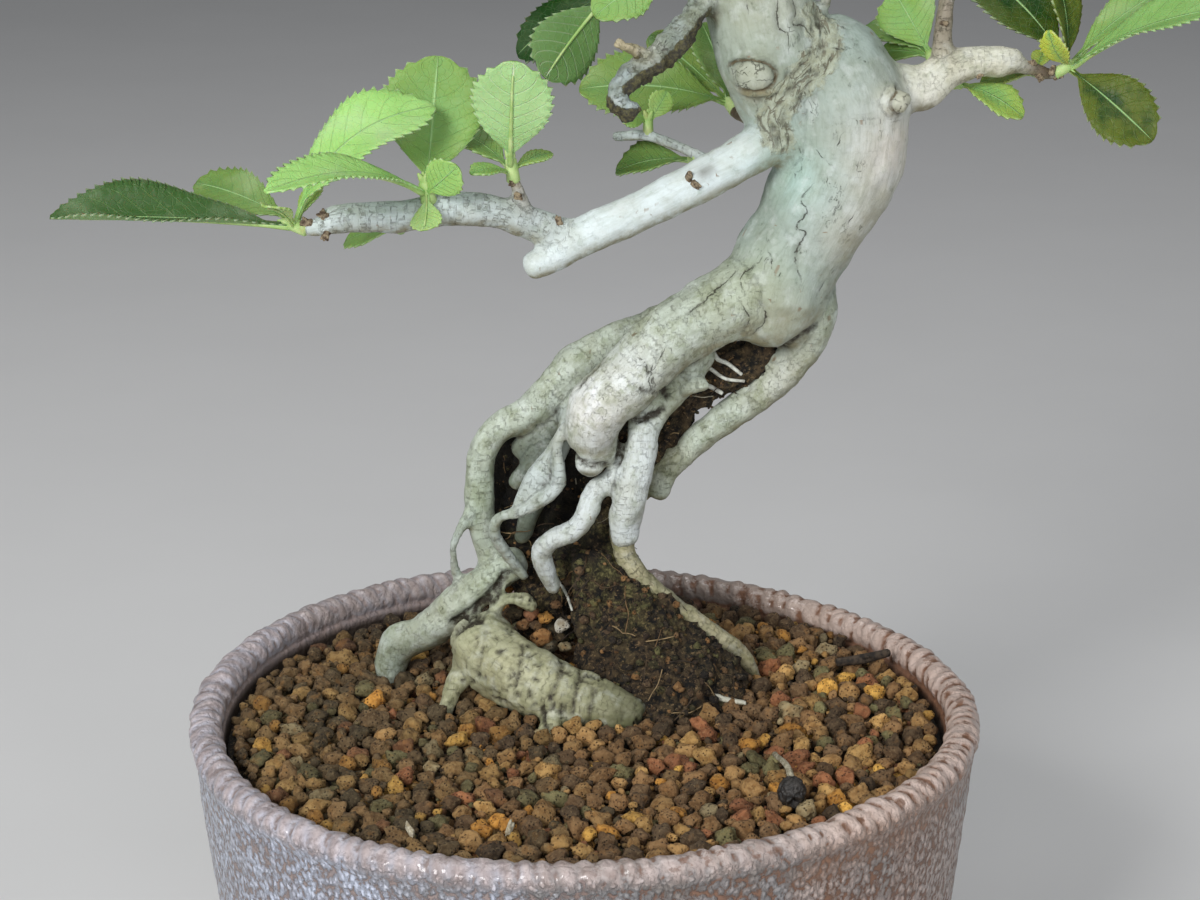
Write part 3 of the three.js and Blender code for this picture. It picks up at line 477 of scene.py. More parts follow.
def leaf_material(name, under):
    """One face of a leaf. Its trait vein holds how far across and along the leaf a place is, 0..1."""
    g = Graph(name, Subsurface_Weight=0.12, Subsurface_Scale=0.0015, Specular_IOR_Level=0.3)
    if under:
        dark, pale, rib, downy = (116, 156, 90), (176, 214, 150), (204, 224, 186), (204, 220, 184)
        vein_width, vein_tone, rib_width, lift, gloss = 0.085, 0.4, 0.075, 1.0, (0.6, 0.76)
    else:
        dark, pale, rib, downy = (22, 66, 8), (160, 208, 120), (160, 198, 132), (202, 220, 184)
        vein_width, vein_tone, rib_width, lift, gloss = 0.06, 0.16, 0.05, -1.0, (0.42, 0.6)
    across, along, _ = g.split(g.trait("vein", "Vector"))
    shade = g.trait("shade")
    # Side veins leave the midrib at a slant and bend towards the tip.
    step = (along - g.math("POWER", across, VEIN_BEND) * 0.2) * SIDE_VEINS + g.noise(6, 2) * 0.25
    side_vein = g.lines(g.math("FRACT", step), vein_width) * g.band(across, 0.72, 1.0, 1.0, 0.15)
    midrib = g.band(across, 0.0, rib_width, 1.0, 0.0)
    net = g.band(g.cells(1.15, feature="DISTANCE_TO_EDGE"), 0.0, 0.09, 1.0, 0.0)
    mottle = g.noise(4.5, 4, 0.6)
    colour = g.mix(shade, dark, pale)
    colour = g.mix(g.band(mottle, 0.35, 0.7, 0.0, 0.5), colour, (206, 222, 180), "MULTIPLY")
    colour = g.mix(g.trait("yellow") * g.band(mottle + across * 0.3, 0.4, 0.75), colour, (186, 196, 66))
    colour = g.coated(
        colour,
        (net * 0.15, g.mix(0.4, colour, rib)),
        (side_vein * vein_tone, rib),
        (g.patches((9, 3, 0.5), 0.5, 0.72, 0.0, 0.35) * (shade * 0.6 + 0.35), downy),
        # Below zero, shade mixes in near-black green: painted shadow on leaves that lie in shade.
        (g.highest(shade * -1.0, 0.0), (14, 40, 4)),
        (g.band(across, 1.0, 1.1) * 0.4, downy),
        (midrib, rib),
    )
    g.set("Base_Color", colour)
    g.set("Roughness", g.patches((2.0, 3), 0.3, 0.7, *gloss))
    height = side_vein * (0.4 * lift) + midrib * (0.8 * lift) + net * (0.2 * lift)
    g.set("Normal", g.bump(height, 0.22, 0.9, Normal=g.bump(g.noise(0.7, 3), 0.06, 0.5)))
    return g.material


def shoot_material():
    """Green shoots, leaf stalks and midribs, a little downy and reddish in places."""
    g = Graph("photinia_shoot", Roughness=0.55, Subsurface_Weight=0.08, Subsurface_Scale=0.001)
    colour = g.mix(g.patches((3.5, 3), 0.35, 0.7), (150, 184, 104), (196, 214, 150))
    g.set("Base_Color", g.mix(g.patches((6.0, 2), 0.56, 0.75, 0.0, 0.7), colour, (150, 112, 70)))
    g.set("Normal", g.bump(g.noise(0.5, 3), 0.08, 0.7))
    return g.material


def glaze_material():
    """Mauve-grey glaze, thick and glossy on the small beads of the wall, with brown clay between them."""
    g = Graph("mauve_glaze", Coat_Weight=0.45, Coat_Roughness=0.12)
    wobble = g.noise(1 / 0.62, 5, 0.7, output="Color")
    bent = g.node("ShaderNodeVectorMath", 0, {"operation": "MULTIPLY_ADD"},
                  (wobble, (0.0016, 0.0016, 0.0016), g.stretched(g.place, 1, 1, 0.74)))
    wall, crest, inside = g.trait("wall"), g.trait("crest"), g.trait("inside")
    bead = g.band(g.cells(0.95, bent) + g.wobble(0.9, 0.9, 4, 0.7), 0.2, 0.85, 1.0, 0.0)
    cover = bead * wall + crest * g.patches((3.2, 5, 0.68), 0.36, 0.52, 0.3, 1.1)
    # The glaze is lilac and glossy at the left, grey in the middle, warmer and duller at the right.
    x, y, z = g.split(g.place)
    side = g.band(x, -0.06, 0.065) + g.wobble(0.9, 22, 3)
    mottle = g.patches((4, 3), 0.35, 0.65)
    lilac = g.mix(mottle, (200, 207, 226), (180, 182, 196))
    grey = g.mix(mottle, (150, 148, 150), (133, 128, 125))
    mauve = g.mix(mottle, (170, 142, 128), (192, 172, 164))
    rim_tone = g.mix(g.patches((3, 4), 0.35, 0.65), (156, 136, 130), (198, 180, 176))
    skin = g.coated(
        g.mix(g.band(side, 0.05, 0.4), lilac, grey),
        (g.band(side, 0.72, 0.95), mauve),
        (crest * 0.8, g.mix(g.band(side, 0.5, 1.0, 0.0, 0.8), rim_tone, (224, 202, 190))),
        (g.band(y, 0.015, 0.055) * 0.45, (118, 102, 88)),
    )
    clay = g.mix(g.noise(2.2, 4, 0.6), (88, 64, 48), (142, 98, 72))
    pale_clay = g.mix(g.noise(1.6, 3), (138, 136, 144), (158, 138, 128))
    clay = g.mix(g.band(side, 0.85, 0.2) * 0.8, clay, pale_clay)
    bare = g.band(z, 0.0535, 0.0565) * g.band(side, 0.6, 0.95) * wall * 0.55
    # Painted highlights: tiny pale glints on the beads, strongest on the lit left side of the wall.
    glint_highlight = g.patches((0.75, 2, 0.5), 0.62, 0.7) * (wall * g.band(side, 0.7, 0.15, 0.15, 0.7))
    g.set("Base_Color", g.coated(
        clay,
        (g.band(cover, 0.06, 0.6), skin),
        (bare, g.mix(g.noise(2.5, 4), (138, 92, 64), (160, 124, 98))),
        (glint_highlight * bead, (222, 225, 236)),
        # Painted shade: the inside and the underside of the pot are painted near-black brown.
        (inside, g.mix(g.noise(3, 4), (28, 20, 13), (56, 41, 28))),
    ))
    g.set("Roughness", g.band(cover + g.noise(0.8, 3) * 0.4, 0.2, 1.2, 0.7, 0.3))
    g.set("Normal", g.bump(bead * (wall + 0.25), 0.6, Normal=g.bump(g.noise(0.7, 4), 0.12, 0.7)))
    return g.material


def grain_material(name):
    """Baked clay grains, each with its own tone, pitted, dusty, and rusty or greenish in patches."""
    g = Graph(name, Roughness=0.9)
    tone = g.trait("tone", "Color")
    colour = g.coated(
        tone,
        (g.patches((1.5, 4, 0.65), 0.4, 0.64, 0.0, 0.75), (176, 158, 132), "MULTIPLY"),
        (g.patches((2.3, 4, 0.6), 0.54, 0.68, 0.0, 0.55), g.mix(0.45, tone, (176, 122, 58))),
        (g.patches((0.5, 4, 0.65), 0.53, 0.66, 0.0, 0.45), g.mix(0.5, tone, (184, 160, 118))),
    )
    pits = g.highest(g.band(g.cells(0.55), 0.08, 0.4), g.patches((1.2, 2), 0.48, 0.42))
    g.set("Base_Color", g.mix(pits, g.mix(1.0, tone, (112, 100, 84), "MULTIPLY"), colour))
    g.set("Normal", g.bump(pits * 0.6 + g.noise(0.7, 6, 0.74), 0.5))
    return g.material


def peat_material():
    """Dark fibrous peat of the old root ball, with moss near the top, mineral crumbs and painted shade on the
    core behind the roots.
    """
    g = Graph("old_peat", Roughness=0.95)
    specks = (0.7, 4, 0.7)
    g.set("Base_Color", g.coated(
        g.mix(g.patches((1.6, 6, 0.7), 0.4, 0.62), (9, 7, 5), (80, 64, 44)),
        (g.patches(specks, 0.55, 0.68, 0.0, 0.9), (136, 110, 78)),
        (g.trait("moss") * g.patches((3.2, 6, 0.7), 0.42, 0.58),
         g.mix(g.patches(specks, 0.4, 0.65), (46, 46, 22), (128, 124, 78))),
        # Painted shade: the core behind the roots is painted near black.
        (g.trait("dark") * 0.85, (12, 9, 7)),
    ))
    g.set("Normal", g.bump(g.noise(0.8, 7, 0.75), 0.6))
    return g.material


def rootlet_material():
    """Thin roots, each with its own tone, a little worn in places."""
    g = Graph("rootlets", Roughness=0.7)
    worn = g.patches((1.2, 3), 0.4, 0.7, 0.0, 0.6)
    g.set("Base_Color", g.mix(worn, g.trait("tone", "Color"), (120, 110, 100), "MULTIPLY"))
    g.set("Normal", g.bump(g.noise(0.3, 3), 0.05, 0.6))
    return g.material


def plain_material(name, dark, light, size, roughness, depth):
    """Two tones mixed by noise, with a rough skin: for small dead and mineral things."""
    g = Graph(name, Roughness=roughness)
    g.set("Base_Color", g.mix(g.patches((size, 4, 0.6), 0.35, 0.65), dark, light))
    g.set("Normal", g.bump(g.noise(size * 0.6, 5, 0.65), depth, 0.8))
    return g.material


# The wood: trunk, branches and roots. Each limb has its kind of bark and its path of (x, y, z, radius).
WOOD = {
    "trunk": ("trunk", [(30, 13, 121.5, 6.2), (31, 13.5, 127, 8.6), (32.5, 14, 132, 9),
        (35.5, 14, 137, 8.6), (38, 14, 142, 9.3), (41, 14, 148, 9.9), (42, 14, 154.5, 10.2),
        (41.5, 14, 160, 10), (39.5, 14, 165.5, 8.2), (37.5, 14, 169, 6.2)]),
    "leader": ("trunk", [(34.5, 14, 153.5, 7.2), (32, 14, 160, 8), (30, 14, 166.5, 9), (28, 14, 173, 8.9),
        (26, 14, 179, 7.9), (23, 14.5, 187, 6.8), (21.5, 15, 195, 5.8), (22.5, 15.5, 203, 4.8),
        (26, 15, 210, 3.9), (28, 14, 217, 3), (27, 13, 223, 2.1), (25, 12.5, 228, 1.3)]),
    "prune_scar": ("trunk", [(27.5, 8, 164.5, 3.8), (26.8, 5.4, 165, 2.9)]),
    "prune_knob": ("callus", [(48, 7, 160.5, 2.3), (50.5, 5, 160.5, 1.6)]),
    "dead_stub": ("dead", [(20, 11, 177, 2.6), (16, 7, 172, 2.1), (12.5, 5, 168.5, 1.9),
        (9.5, 3, 166.5, 1.8), (6.5, 2, 164.5, 1.8), (5, 1, 162, 1.7), (6.5, 0, 160.5, 1.4),
        (8.5, 0, 161, 1)]),
    "dead_spur": ("dead_end", [(11, 4, 167.5, 1.1), (8, 2, 169.5, 1), (5.2, 1, 170.7, 0.95)]),
    "top_twig": ("twig", [(36, 14, 169, 1.2), (38, 13, 174.5, 0.9), (39.5, 12, 178.5, 0.7)]),
    "left_branch": ("silver", [(34.5, 14, 153.5, 4), (28.5, 10, 152.5, 3.7), (22.5, 8, 149.5, 3.5),
        (15, 6, 146, 3.3), (7, 4, 142.5, 3.3), (0, 3, 139.5, 3.2), (-4.5, 2, 136.8, 2.7),
        (-8.5, 1, 135, 2.1)]),
    "left_second": ("grey", [(1, 4, 139, 2.9), (-4, 3, 140, 2.8), (-8.5, 2, 142, 2.7),
        (-14, 0, 144.3, 2.7), (-21, -2, 145.2, 2.7), (-28.5, -3, 144.3, 2.6), (-35, -4, 144.3, 2.5),
        (-38.5, -5, 144.3, 2.6), (-40.5, -6, 143.5, 1.6), (-43, -6, 143, 1.1)]),
    "left_spur": ("twig", [(-9, 1, 143.5, 1.4), (-10, 1, 146.5, 1.2), (-11, 1, 149, 1)]),
    "back_twig": ("dark_twig", [(33, 17, 153, 1.8), (27, 24, 154, 1.3), (24.5, 29, 154.5, 1.1)]),
    "low_twig": ("grey", [(21.5, 8, 149.5, 1.3), (19, 13, 150, 1.1), (14.5, 16, 151.5, 1),
        (10, 18, 152.5, 1), (5, 20, 152, 1)]),
    "right_branch": ("brown", [(43, 14, 160.5, 4.8), (49.5, 15, 161, 3.8), (54, 16, 160.5, 3.7),
        (58, 17, 163, 2.9), (62.5, 18, 164.5, 2.6), (67.5, 19, 164.5, 2.5), (70, 19.5, 164.5, 1.9)]),
    "right_spur": ("dark_twig", [(69, 19, 164, 1.5), (72.5, 20, 163, 1.2), (75, 20.5, 162, 1.1),
        (76.5, 21, 162, 0.9)]),
    "right_twig": ("twig", [(57.5, 17, 163, 1.9), (57.5, 18, 169, 1.5), (58, 19, 174.5, 1.4),
        (58.5, 20, 181, 1.3), (59.5, 21, 187, 1.1), (60, 21, 192, 0.9)]),
    "hanging_twig": ("twig", [(24, 17, 179.5, 1.7), (17, 27, 178.5, 1.3), (11, 30, 177, 1.1),
        (5.5, 31, 175, 0.9)]),
    "high_left": ("brown", [(23, 14, 189, 4), (15, 12, 194, 3), (3, 10, 197.5, 2.5), (-11, 9.5, 199, 2.2),
        (-25, 8, 202, 1.9), (-38, 5, 204.5, 1.6), (-52, 3, 205, 1.3), (-64, 2, 206.5, 1)]),
    "high_left_upper": ("twig", [(-11, 9.5, 199, 1.5), (-14, 11, 206, 1.1), (-15, 12, 211, 0.9)]),
    "high_left_front": ("twig", [(-30, 7, 203, 1.4), (-33, 0, 206, 1.1), (-35, -4, 209, 0.9)]),
    "high_right": ("brown", [(23, 15, 199, 3.2), (32, 13, 204, 2.4), (42, 10, 208, 2),
        (52, 9, 210.5, 1.6), (59, 8, 213.5, 1)]),
    "high_back": ("brown", [(24, 16, 204, 2.6), (28, 27, 209, 1.9), (32, 37, 212, 1.5), (34, 44, 215, 0.9)]),
    "high_front": ("twig", [(26, 13, 210.5, 2), (20, 3, 214, 1.5), (15.5, -5, 217, 0.9)]),
    "apex_side": ("twig", [(27.5, 14, 218, 1.8), (34, 15, 223, 1.2), (37.5, 16, 227, 0.9)]),
    "root_behind": ("root", [(22, 17.5, 125, 4.4), (15, 21, 121.5, 2.8), (9.5, 22.5, 119, 2.4),
        (3.5, 22, 116, 3.2), (-1, 21, 112.5, 4.2), (-5.5, 20, 108.5, 3.3), (-10, 19, 105, 2.8),
        (-14, 18.5, 103, 2.7), (-16.5, 18, 100, 2.5), (-17.5, 18, 95, 2.6), (-17.5, 18, 89.5, 2.7),
        (-17, 18.5, 84, 2.4), (-15, 19, 78, 2.6)]),
    "root_elbow": ("root", [(-11, 18, 79.6, 2.4), (-16.5, 17.5, 75.8, 3.3), (-20.5, 18.3, 72.3, 3.3),
        (-24.5, 19.5, 68, 3.3), (-28.5, 20.7, 64.8, 3.1), (-32, 21.5, 63, 3.6), (-33.5, 21, 58.5, 2.8),
        (-33.5, 21, 54, 1.6)]),
    "root_front": ("mossy_root", [(-14.5, 15, 66.5, 4.2), (-16.8, 11.5, 66.6, 5.7), (-12, 6, 64, 6),
        (-3.5, 2, 61.5, 5.3), (3.5, 0, 60, 4.3), (8.5, -1, 58.6, 3.4)]),
    "root_front_spur": ("mossy_root", [(-20, 9.5, 64, 2.2), (-22, 6, 61, 1.8), (-23.5, 3.5, 57, 1.2)]),
    "root_front_toe": ("mossy_root", [(-4, 1, 60, 3), (-5.5, -3.5, 58.4, 1.8), (-7, -7, 56.5, 0.9)]),
    "root_ridge": ("ridge_root", [(15, 15.5, 99, 2), (9.5, 16, 93, 1.9), (6.3, 15.5, 88, 1.9),
        (6.8, 14, 82, 2), (9.8, 13.5, 77.5, 2), (13.8, 13.5, 73.8, 1.9), (18.6, 14, 70.3, 1.8),
        (23.2, 15, 66.3, 1.8), (27.5, 16.5, 62, 1.6), (30, 18, 56.5, 1.2)]),
    "root_tip": ("white_root", [(11.5, 17, 73, 1), (14, 12, 66, 0.9), (18, 7.5, 60.8, 0.8),
        (22, 4, 60.2, 0.8), (27, 2, 60, 0.6)]),
    "bulge": ("root", [(28, 12, 128.5, 6.6), (18.5, 10, 124, 5.7), (12, 8, 119.5, 5.3),
        (7, 7, 114.7, 5.3), (2.5, 7, 110, 5.1), (1.5, 8, 105.5, 4.5), (3, 10, 101.5, 3.4)]),
    "bulge_knob": ("pale_root", [(1.5, 8.5, 103, 2.8), (0.4, 6.5, 99.5, 2.2)]),
    "inner_lobe": ("root", [(19, 14, 118, 3.4), (14.5, 13, 112, 3.3), (11, 11, 108.5, 3.1),
        (9.5, 9.5, 105, 2.6)]),
    "root_finger": ("pale_root", [(9.5, 9.5, 107, 2.3), (9.5, 8, 102.5, 2.6), (8.5, 7.5, 98, 2.8),
        (7.5, 7.5, 94, 2.8), (6.5, 8, 90, 2.6), (6.5, 8, 86.5, 2.2)]),
    "root_right": ("root", [(35.5, 14, 129, 5.2), (37.5, 14.5, 123, 3.7), (36.5, 15, 118.5, 3.3),
        (34, 15.5, 115, 3.1), (30, 16, 110.5, 3), (25, 16, 106.5, 2.8), (20, 16, 102.5, 2.5),
        (16.5, 16, 99, 2.2), (13.5, 15, 96, 1.9), (12.5, 14, 92.5, 1.6)]),
    "cut_root": ("root", [(13, 12.5, 110.5, 1.6), (17, 11, 112, 1.4), (20, 10.5, 113, 1.2)]),
    "root_thread": ("thin_root", [(0, 9.5, 108, 1.4), (-3.5, 10, 105, 1.1), (-4.5, 10, 102, 1),
        (-4, 9, 98.5, 1.1), (-4.5, 9, 95.5, 1.2), (-7.5, 9, 93, 1.2), (-11, 9.5, 91, 1.1),
        (-14, 10, 90, 1.1), (-15, 11, 87.5, 1.1), (-13.5, 12.5, 83.5, 1.1), (-11.5, 14, 80, 1),
        (-10, 15, 77.5, 0.8)]),
    "root_flat": ("thin_root", [(-1, 19, 109, 2.2), (-3, 14.5, 103, 1.7), (-5.5, 12.5, 99, 2),
        (-8.5, 11.5, 95.5, 2.1), (-11, 10.5, 91.5, 1.3)]),
    "inner_root_upper": ("inner_root", [(-3, 20, 106, 2.8), (-7.5, 20, 100.5, 2.8), (-11, 20, 98, 2.1)]),
    "inner_root_middle": ("inner_root", [(-5, 19.5, 101.5, 2), (-9, 17, 96, 2.2), (-12, 17, 93.5, 1.5)]),
    "inner_root_lower": ("inner_root", [(-6.5, 18.5, 97, 1.9), (-7.5, 20, 91.5, 2), (-9.5, 20, 86.5, 1.8),
        (-10.5, 19.5, 82.5, 1.2)]),
    "root_crooked": ("pale_root", [(9, 10, 102, 1.8), (4, 9.5, 96.5, 1.8), (1.5, 8.5, 94.5, 1.9),
        (0.5, 8, 91.5, 2), (-1.5, 8, 88.5, 1.9), (-4.5, 8.5, 87, 1.8), (-7, 9.5, 84.5, 1.8),
        (-6.5, 11, 80.5, 1.8), (-5, 12.5, 76.5, 1.3)]),
    "root_nub": ("mossy_root", [(-15.2, 15, 72.2, 1.4), (-12.5, 14, 74, 1.3), (-10, 13.5, 73.6, 1.2),
        (-8.7, 13.5, 72.6, 1)]),
    "root_side": ("thin_root", [(-17.5, 17.5, 91.5, 1.4), (-20.5, 16, 86.5, 1), (-22, 16, 82.5, 0.9),
        (-21.5, 18.5, 75, 0.9)]),
}

# Each kind of bark: tone, height of lumps, depth and spacing of folds across the limb, then how much it
# shows cracks, fine wrinkles, moss, dirty patches (which also set the painted shade at seams between limbs)
# and a rotten underside.
BARKS = {
    "trunk": ((158, 173, 166), 0.3, 0, 4, 1, 0.1, 0, 0.12, 0),
    "callus": ((180, 182, 160), 0.35, 0, 4, 0.5, 0.5, 0, 0.3, 0),
    "dead": ((150, 163, 164), 0.9, 0.12, 2.2, 0.8, 0.9, 0.3, 0.6, 1),
    "dead_end": ((190, 178, 148), 0.7, 0.12, 2.2, 0.5, 0.9, 0, 0.6, 0.2),
    "silver": ((216, 227, 228), 0.25, 0, 4, 0.1, 0.1, 0, 0.06, 0),
    "grey": ((196, 207, 207), 0.22, 0.05, 1.9, 0.25, 0.8, 0, 0.2, 0),
    "brown": ((226, 226, 212), 0.3, 0.08, 2.6, 0.15, 0.35, 0, 0.3, 0),
    "twig": ((146, 136, 120), 0.15, 0.08, 1.8, 0.3, 0.8, 0, 0.3, 0),
    "dark_twig": ((90, 74, 58), 0.22, 0.12, 1.6, 0.5, 0.9, 0.1, 0.4, 0.3),
    "root": ((192, 202, 188), 0.35, 0.05, 6, 0.35, 0.5, 0.2, 0.7, 0.1),
    "pale_root": ((218, 226, 227), 0.35, 0.05, 5, 0.2, 0.45, 0.08, 0.5, 0),
    "mossy_root": ((184, 184, 152), 0.5, 0.6, 2.8, 0.05, 0.5, 0.2, 0.3, 0.1),
    "ridge_root": ((186, 180, 148), 0.4, 0.15, 3, 0.2, 0.8, 0.4, 0.9, 0.2),
    "thin_root": ((190, 200, 198), 0.25, 0.06, 2.5, 0.1, 0.6, 0.1, 0.5, 0.1),
    "inner_root": ((104, 114, 104), 0.3, 0.08, 3, 0.1, 0.4, 0.2, 0.7, 0.2),
    "white_root": ((212, 210, 198), 0.15, 0.04, 2, 0, 0.2, 0, 0.1, 0),
}

# Larger patches of tone on the bark: middle, reach, tone and strength.
STAINS = [
    ((49, 8, 152), 9, (224, 219, 211), 0.95), ((44, 6, 139), 7, (206, 204, 194), 0.7),
    ((36, 4, 147), 5, (184, 196, 190), 0.5), ((32, 6, 149), 6, (172, 201, 192), 0.85),
    ((27, 6, 131), 7, (170, 180, 152), 0.6), ((32, 5, 124), 6, (188, 186, 162), 0.5),
    ((24, 5, 176), 9, (170, 176, 156), 0.75), ((32, 6, 176), 6, (176, 178, 164), 0.6),
    # The patch of (112, 110, 102) at (18.6, 3.4, 149.8) is painted shadow cast by the bud beside it.
    ((27, 5, 165), 6, (158, 166, 146), 0.6), ((18.6, 3.4, 149.8), 1.2, (112, 110, 102), 0.9),
    ((8, 2, 118), 6, (226, 230, 228), 0.6), ((0, 1, 111), 8, (250, 252, 255), 1),
    ((5, 2, 104), 3.5, (176, 176, 190), 0.6), ((8, 4, 99), 5, (214, 222, 218), 0.6),
    ((-12, 0, 67), 5, (202, 200, 166), 0.5), ((4, -3, 59), 8, (122, 122, 88), 0.7),
    # The patch of (112, 110, 102) at (19.8, 3.6, 150.5) is the rest of the bud's painted shadow.
    ((19.8, 3.6, 150.5), 1.2, (112, 110, 102), 0.9), ((10, -1, 58), 6.5, (50, 50, 30), 0.95),
    ((-17, 12, 77), 5, (186, 200, 176), 0.6), ((-18, 14, 90), 6, (176, 194, 170), 0.5),
    ((-31, 16, 61), 5, (112, 124, 112), 0.7), ((-24, 16, 71), 5, (202, 208, 192), 0.5),
    ((33, 12, 113), 6, (196, 194, 182), 0.6),
]

# Lines here are points (x, z) on the side that faces -Y. The callus is the rough healed bark where an old
# leader was cut away. Each crack has its width and depth, each crevice between limbs its width, its y and how
# dark it is painted as shade, and each cut its middle and half sizes.
CALLUS_LINE = [
    (36.3, 176.5), (37.2, 172.2), (37.7, 168.4), (35, 164.8), (31.8, 161.4), (29.9, 157.4), (30.7, 153.4),
    (29.9, 151),
]
CALLUS_WIDTH = 2.9
CALLUS_LENGTH = 25
CRACKS = [
    ([(35.7, 146.8), (34.4, 144.7), (35.4, 143.1), (33.8, 140.2), (35.2, 139.5), (33.7, 135.9),
        (34.7, 131.7)], 0.4, 0.4),
    ([(30.1, 177), (30.5, 172.1), (31.8, 171.3), (32, 169.2)], 0.3, 0.4),
    ([(32.2, 177), (33.2, 174.6), (32.6, 172.6), (34.3, 172.3), (35.6, 170.4)], 0.3, 0.4),
    ([(25.3, 177), (25.5, 175)], 0.25, 0.25), ([(39.6, 153.2), (40.3, 155)], 0.25, 0.25),
    ([(36.7, 152.9), (37.4, 152), (38.7, 150.8)], 0.25, 0.22),
    ([(38.9, 168.7), (41.3, 168.6)], 0.25, 0.25), ([(42.8, 142.2), (42, 140.9)], 0.22, 0.2),
    ([(38.5, 130.6), (37.9, 129.1)], 0.25, 0.22), ([(29.7, 135.8), (30.1, 133.7)], 0.35, 0.3),
    ([(28, 134.3), (25, 131.5), (25.4, 130.2)], 0.3, 0.3),
    ([(27.5, 129.1), (29.1, 126.2), (29, 124.4), (27.3, 122.2)], 0.3, 0.35),
    ([(25.3, 127.6), (26.6, 125.2), (25.7, 122.9)], 0.3, 0.3),
    ([(14.8, 125.4), (17.8, 127.1), (25, 133.1)], 0.35, 0.4),
    ([(8.3, 120.3), (10.9, 117.3), (11.7, 114.1)], 0.42, 0.5),
    ([(12.9, 120.8), (11.2, 117.6)], 0.3, 0.35), ([(9.9, 119.1), (10.3, 116.5), (10.9, 113.6)], 0.35, 0.4),
]
CREVICES = [
    ([(-12.2, 79.5), (-13.6, 77.4), (-15.8, 74.2), (-19, 71.4), (-23.4, 68)], 1.1, 14, 1),
    ([(-10, 70.9), (-10.5, 67.6), (-11.8, 63.3)], 0.4, 1, 0.4),
    ([(-3.4, 68.1), (-4.7, 64.7), (-6.1, 62.3)], 0.5, 0, 0.7),
    ([(-0.3, 67.1), (-1.6, 63.3), (-2.1, 59.9)], 0.4, 0, 0.45),
    ([(1.9, 64.7), (1, 61.9), (0.6, 59)], 0.4, -1, 0.7),
    ([(-16.2, 71.4), (-17.5, 67.6), (-18.4, 63.7)], 0.35, 7, 0.2),
    ([(-7.2, 61.9), (-6.1, 58.5), (-3, 56.8)], 0.5, -1, 0.8),
    ([(-4.9, 110.9), (-3.5, 112.5), (1.3, 116.2), (5, 118.2), (8.6, 120.4), (14, 124)], 0.7, 11, 0.9),
    ([(6.5, 108.1), (8.6, 107.6), (11.2, 108.3), (13.7, 110)], 0.6, 6, 1),
    ([(6.6, 106.4), (6, 103.7), (5.2, 99.3)], 0.5, 6, 0.8),
    ([(-2.3, 102.9), (-1, 101.9), (0.5, 101), (2.9, 100.8), (4.4, 99.7)], 0.5, 5, 0.8),
    ([(13.7, 114), (13, 112.3), (14, 110.4)], 0.6, 8, 0.9),
    ([(8, 115.3), (10.4, 113.7), (13.2, 112.9)], 0.45, 7, 0.8),
    ([(23, 119.6), (26.7, 118), (30.8, 118), (34.4, 120.4), (38.5, 123.4)], 0.6, 9, 0.9),
]
CUTS = [((26.3, 5.4, 164.7), (3.9, 2.6)), ((50.0, 5.4, 160.5), (2.0, 2.1))]
# A value of crack_gap or cut that is too far off to show
FAR = 9.0
# How many vertices are measured against all the limbs at once
BATCH = 4000


def wood_skin():
    """One skin round all the limbs."""
    shape = Shape()
    for _, points in WOOD.values():
        thin = min(point[3] for point in points) < 1.5
        shape.add(*tube(points, 1.0, 14 if thin else 28))
    return remeshed(shape, WOOD_VOXEL)


def filleted(vertices, faces, edges, times):
    """Fills the sharp inner corners between limbs, as bark does where limbs grow together."""
    for _ in range(times):
        normals = normals_of(vertices, faces)
        pull = relaxed(vertices, edges, 1, 1.0) - vertices
        out = (pull * normals).sum(axis=1)[:, None]
        vertices = vertices + normals * np.maximum(out, 0) + 0.2 * (pull - normals * out)
    return vertices


def limb_values(vertices):
    """For each vertex: the tone and habits of the bark round it, and its place along and round its limb."""
    columns = [[], [], [], [], []]
    for number, (kind, points) in enumerate(WOOD.values(), 1):
        places, radii, along = sample_path(points, 1.0)
        _, normals, binormals = directions(places)
        tone, *rest = BARKS[kind]
        habits = np.tile([*srgb(tone), *rest], (len(places), 1))
        frames = np.stack([normals, binormals], axis=1)
        # Each limb starts at another distance, so that no two show the same pattern.
        for column, values in zip(columns, (places, radii, habits, frames, along + 37.0 * number)):
            column.append(values)
    centres, radii, habits, frames, gone = map(np.concatenate, columns)
    blended, limb = [], []
    for start in range(0, len(vertices), BATCH):
        away = vertices[start:start + BATCH, None] - centres[None]
        depth = np.linalg.norm(away, axis=2) - radii[None]
        nearest = depth.argmin(axis=1)
        weight = np.exp(-(depth - depth.min(axis=1)[:, None]) / 0.7)
        blended.append((weight @ habits) / weight.sum(axis=1)[:, None])
        out = away[np.arange(len(away)), nearest]
        round_limb = (out[:, None] * frames[nearest]).sum(axis=2)
        limb.append(np.column_stack([round_limb, gone[nearest]]))
    return np.concatenate(blended), np.concatenate(limb)


def distance_to_line(vertices, line):
    """How far each vertex, seen along Y, is from a line of (x, z), with a sign for the side it is on, and how
    far along the line that is, 0..1."""
    places, _, along = sample_path([(x, 0, z, 1) for x, z in line], 0.15)
    places = places[:, ::2]
    ways = np.gradient(places, axis=0)
    away = vertices[:, None, ::2] - places[None]
    gaps = np.linalg.norm(away, axis=2)
    nearest = gaps.argmin(axis=1)
    away, way = away[np.arange(len(nearest)), nearest], ways[nearest]
    side = np.where(way[:, 0] * away[:, 1] > way[:, 1] * away[:, 0], 1, -1)
    return gaps.min(axis=1), side, along[nearest] / along[-1]


